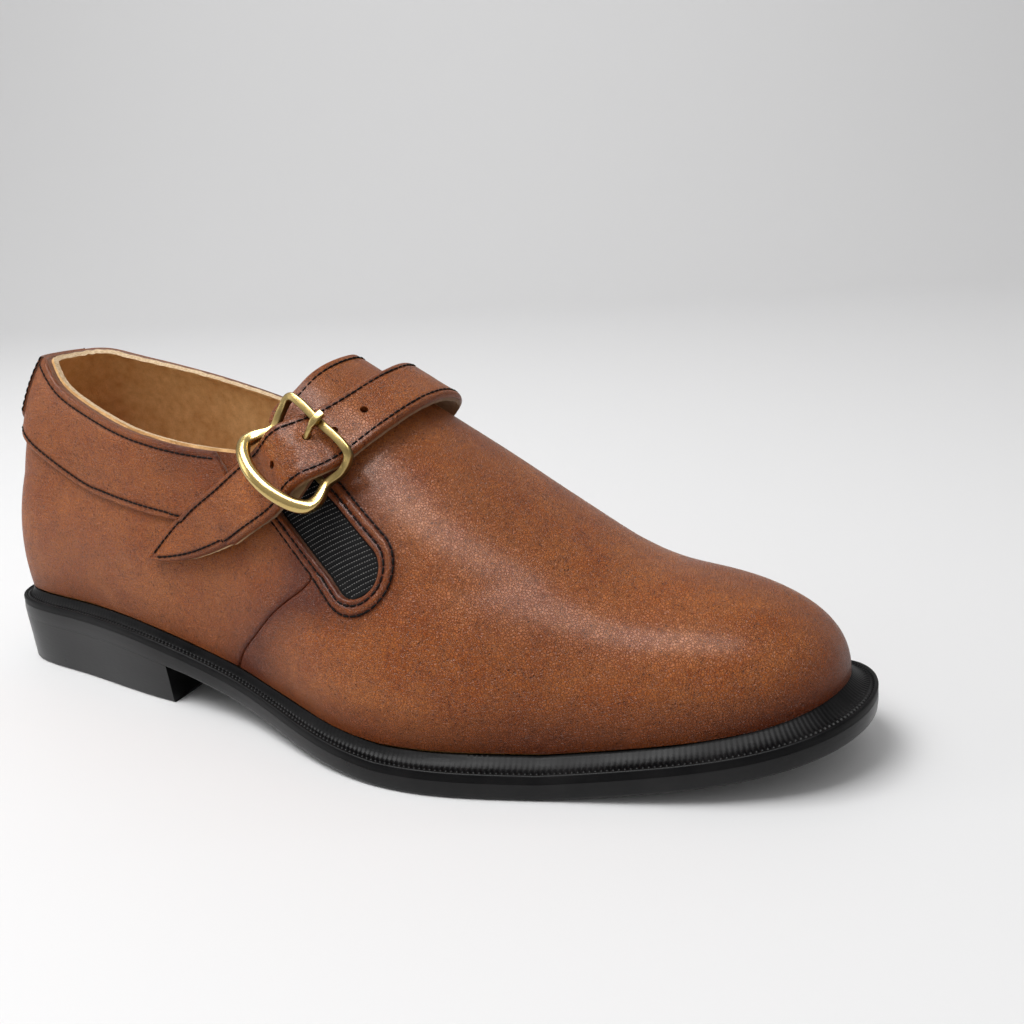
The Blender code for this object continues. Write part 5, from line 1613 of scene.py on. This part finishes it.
# %% Threads along a line
def stitches(name, rows, look=None, pitch=0.0023, length=0.00245, radius=0.00029):
    """Each stitch is five six-sided rings whose heights go down, up, top, up, down along the stitch."""
    sides = 6
    place = np.array([-0.5, -0.30, 0.0, 0.30, 0.5])
    lift = np.array([-0.9, 0.3, 0.6, 0.3, -0.9]) * radius
    thick = np.array([0.55, 1.0, 1.0, 1.0, 0.55]) * radius
    turn = np.linspace(0, 2 * math.pi, sides, endpoint=False)[:, None]
    parts = []
    for path, normals in rows:
        run = chord_run(path)
        count = max(1, int(run[-1] / pitch))
        middle = (np.arange(count) + 0.5) * run[-1] / count
        sample = middle[:, None] + place[None, :] * length
        spot = np.stack([np.interp(sample, run, path[:, k]) for k in range(3)], -1)
        up = np.stack([np.interp(sample, run, normals[:, k]) for k in range(3)], -1)
        up /= np.linalg.norm(up, axis=-1)[..., None]
        ahead = spot[:, -1:] - spot[:, :1]
        ahead = ahead / np.linalg.norm(ahead, axis=-1)[..., None]
        side = np.cross(np.broadcast_to(ahead, up.shape), up)
        centre = spot + up * lift[None, :, None]
        ring = side[:, :, None] * np.cos(turn) + up[:, :, None] * np.sin(turn)
        parts.append(centre[:, :, None] + ring * thick[None, :, None, None])
    rings = np.concatenate(parts)
    count, per = len(rings), 5 * sides
    body = grid_quads(5, sides, False, True)
    ends = np.array([[3, 2, 1, 0], [5, 4, 3, 0], [24, 25, 26, 27], [24, 27, 28, 29]])
    faces = np.vstack([body[:, ::-1], ends[:, ::-1]])
    faces = (faces[None] + (np.arange(count) * per)[:, None, None]).reshape(-1, 4)
    return make_piece(name, rings.reshape(-1, 3), [faces], [look or thread_black], sharp=180)


def on_skin(place, offset):
    """A line on the form with its outward directions."""
    points = skin(place, offset)
    return points, skin(place, offset + 0.001) - points


def grid_line(place, heights, distance, run):
    """The line at a distance from the first column of a grid, by linear steps between columns."""
    rows = np.concatenate([place, heights[..., None]], -1)
    picks = np.array([[np.interp(distance, far, row[:, k]) for k in range(3)]
                      for far, row in zip(run, rows)])
    return on_skin(picks[:, :2], picks[:, 2])


inside = slice(3, -3)
stitches("collar_stitches", [
    grid_line(band_place[inside], band_height[inside], BAND_STITCH, from_low[inside]),
    grid_line(band_place[inside, ::-1], band_height[inside, ::-1], TOPLINE_STITCH, from_top[inside, ::-1]),
])


for side in SIDES:
    rows = [resample(slot_line(side, gap, *RIM_LENGTHS[side]), spacing=0.0008) for gap in RIM_STITCHES]
    rows = [on_skin(from_side(side, row), height) for row, height in zip(rows, RIM_THREAD_HEIGHTS)]
    stitches("rim_stitches_" + side, rows)


def on_strap(run, across, height):
    """A line on the strap with its outward directions."""
    points = strap_point(run, across, height)
    return points, strap_point(run, across, height + 0.001) - points


def strap_edge_line(from_upper):
    """The line a fixed distance inside one edge of the strap, up to where both lines meet near the point."""
    run = np.linspace(0.1, 15.2, 500)
    upper, lower = strap_point(run, 0.0, STRAP_THICKNESS), strap_point(run, 1.0, STRAP_THICKNESS)
    share = np.minimum(STRAP_STITCH / np.maximum(np.linalg.norm(lower - upper, axis=1), 0.004), 0.5)
    return on_strap(run, share if from_upper else 1 - share, STRAP_THICKNESS - 0.00018)


base_line = on_strap(0.28, np.linspace(0.12, 0.88, 40), STRAP_THICKNESS - 0.0001)
stitches("strap_stitches", [strap_edge_line(True), strap_edge_line(False), base_line])

tongue_part = tongue[5:-5]
tongue_line = grid_line(tongue_part, np.full(tongue_part.shape[:2], -0.0001), TONGUE_STITCH,
                        run_lengths(vamp_skins[0], 1)[5:-5])
stitches("tongue_stitches", [tongue_line])


def yarn_rows(side):
    """Short yarns with a painted sheen in each valley between two ribs, cut off where the slot ends."""
    rows = []
    half = SLOT_HALF_WIDTH - 0.0005
    for number in range(-8, int(gore_top(side) / RIB_PITCH) + 4):
        across = np.linspace(-half, half, 40)
        up = number * RIB_PITCH - RIB_TILT * across - RIB_BOW * RIB_PITCH * (across / SLOT_HALF_WIDTH) ** 2
        within = (up < gore_top(side)) & ((up >= 0) | (across ** 2 + up ** 2 < half ** 2))
        if within.sum() >= 8:
            across, up = across[within], up[within]
            points = gore_points(side, up, across, -ELASTIC_DEPTH + 0.00010)
            rows.append((points, gore_points(side, up, across, -ELASTIC_DEPTH + 0.0011) - points))
    return rows


for side in SIDES:
    stitches("elastic_yarns_" + side, yarn_rows(side), elastic_painted_sheen, YARN_PITCH,
             0.00055, 0.00013)

tab_lines = []
for row in (2, -3):
    points, raised = [form(tab_u[row], tab_rise[row], tab_height[row] + lift) for lift in (0, 0.001)]
    tab_lines.append((points, raised - points))
stitches("tab_stitches", tab_lines)

# %% [markdown]
# ## Camera, light and floor
# The camera stands where the photographer stood. The light is a wide soft box above, weaker ones
# at the side and on the wall, a strip that only gives highlights, and a pale room all round. So
# the leather gets long soft lights, and the shadow on the floor stays faint.

# %% Camera
CAMERA_PLACE = Vector((0.2997, -0.2869, 0.1546))
CAMERA_TARGET = Vector((0.10569, 0.10658, 0.03003))
CAMERA_ROLL = math.radians(-3.01)
PHOTO_FOCAL_SHARE = 1112.51 / 1024

ahead = (CAMERA_TARGET - CAMERA_PLACE).normalized()
right = ahead.cross(Vector((0, 0, 1))).normalized()
up = right.cross(ahead)
axes = Matrix((right, up, -ahead)).transposed() @ Matrix.Rotation(CAMERA_ROLL, 3, "Z")
lens = bpy.data.cameras.new("photo_camera")
lens.sensor_width = 36
lens.lens = 36 * PHOTO_FOCAL_SHARE
lens.clip_start = 0.01
camera = put("photo_camera", lens)
camera.matrix_world = Matrix.Translation(CAMERA_PLACE) @ axes.to_4x4()
bpy.context.scene.camera = camera
print("lens %.1f mm" % lens.lens)


# %% Floor and backdrop: one sheet that curves up behind
FLOOR_FRONT, FLOOR_BACK, FLOOR_BEND, WALL_TOP = -3.0, 1.2, 0.9, 4.0


def make_floor():
    """A grid over x and y whose height follows a quarter circle behind the shoe."""
    across = np.linspace(-4.0, 4.0, 3)
    flat = np.linspace(FLOOR_FRONT, FLOOR_BACK, 12)
    turn = np.linspace(0, HALF_PI, 24)[1:]
    depth = np.concatenate([flat, FLOOR_BACK + FLOOR_BEND * np.sin(turn), [FLOOR_BACK + FLOOR_BEND]])
    height = np.concatenate([0 * flat, FLOOR_BEND * (1 - np.cos(turn)), [WALL_TOP]])
    columns = np.broadcast_arrays(across[None], depth[:, None], height[:, None])
    mesh = bpy.data.meshes.new("studio_floor")
    mesh.from_pydata(np.stack(columns, -1).reshape(-1, 3).tolist(), [], grid_quads(len(depth), 3).tolist())
    mesh.shade_smooth()
    paper, tree, shader = new_material("studio_paper")
    set_inputs(tree, shader, Base_Color=(0.80, 0.80, 0.805, 1), Roughness=0.6)
    mesh.materials.append(paper)
    floor = put("studio_floor", mesh)
    floor.rotation_euler = (0, 0, math.radians(26))


make_floor()


# %% Lights
def soft_box(name, place, target, size, power, gloss_only=False):
    """A soft rectangular lamp. With gloss_only it adds highlights and leaves the shading alone."""
    lamp = bpy.data.lights.new(name, "AREA")
    lamp.shape = "RECTANGLE"
    lamp.size, lamp.size_y = size
    lamp.energy = power
    box = put(name, lamp)
    box.location = place
    box.rotation_euler = (Vector(target) - Vector(place)).to_track_quat("-Z", "Y").to_euler()
    box.visible_diffuse = not gloss_only


soft_box("top_box", (-0.25, -0.35, 1.15), (0.12, 0.0, 0.03), (0.85, 0.7), 12.5)
soft_box("left_box", (-1.2, -0.6, 0.6), (0.05, 0.0, 0.05), (0.5, 0.7), 2.4)
soft_box("wall_box", (-0.35, 0.75, 1.6), (-0.92, 1.89, 0.6), (2.4, 0.8), 7)
soft_box("gloss_strip", (0.10, -0.36, 1.02), (0.12, -0.02, 0.03), (1.3, 0.42), 24, gloss_only=True)
room = bpy.data.worlds.new("pale_room")
room.use_nodes = True
set_inputs(room.node_tree, room.node_tree.nodes["Background"], Color=(0.99, 0.985, 0.98, 1), Strength=0.46)
bpy.context.scene.world = room
bpy.context.scene.view_settings.view_transform = "Standard"
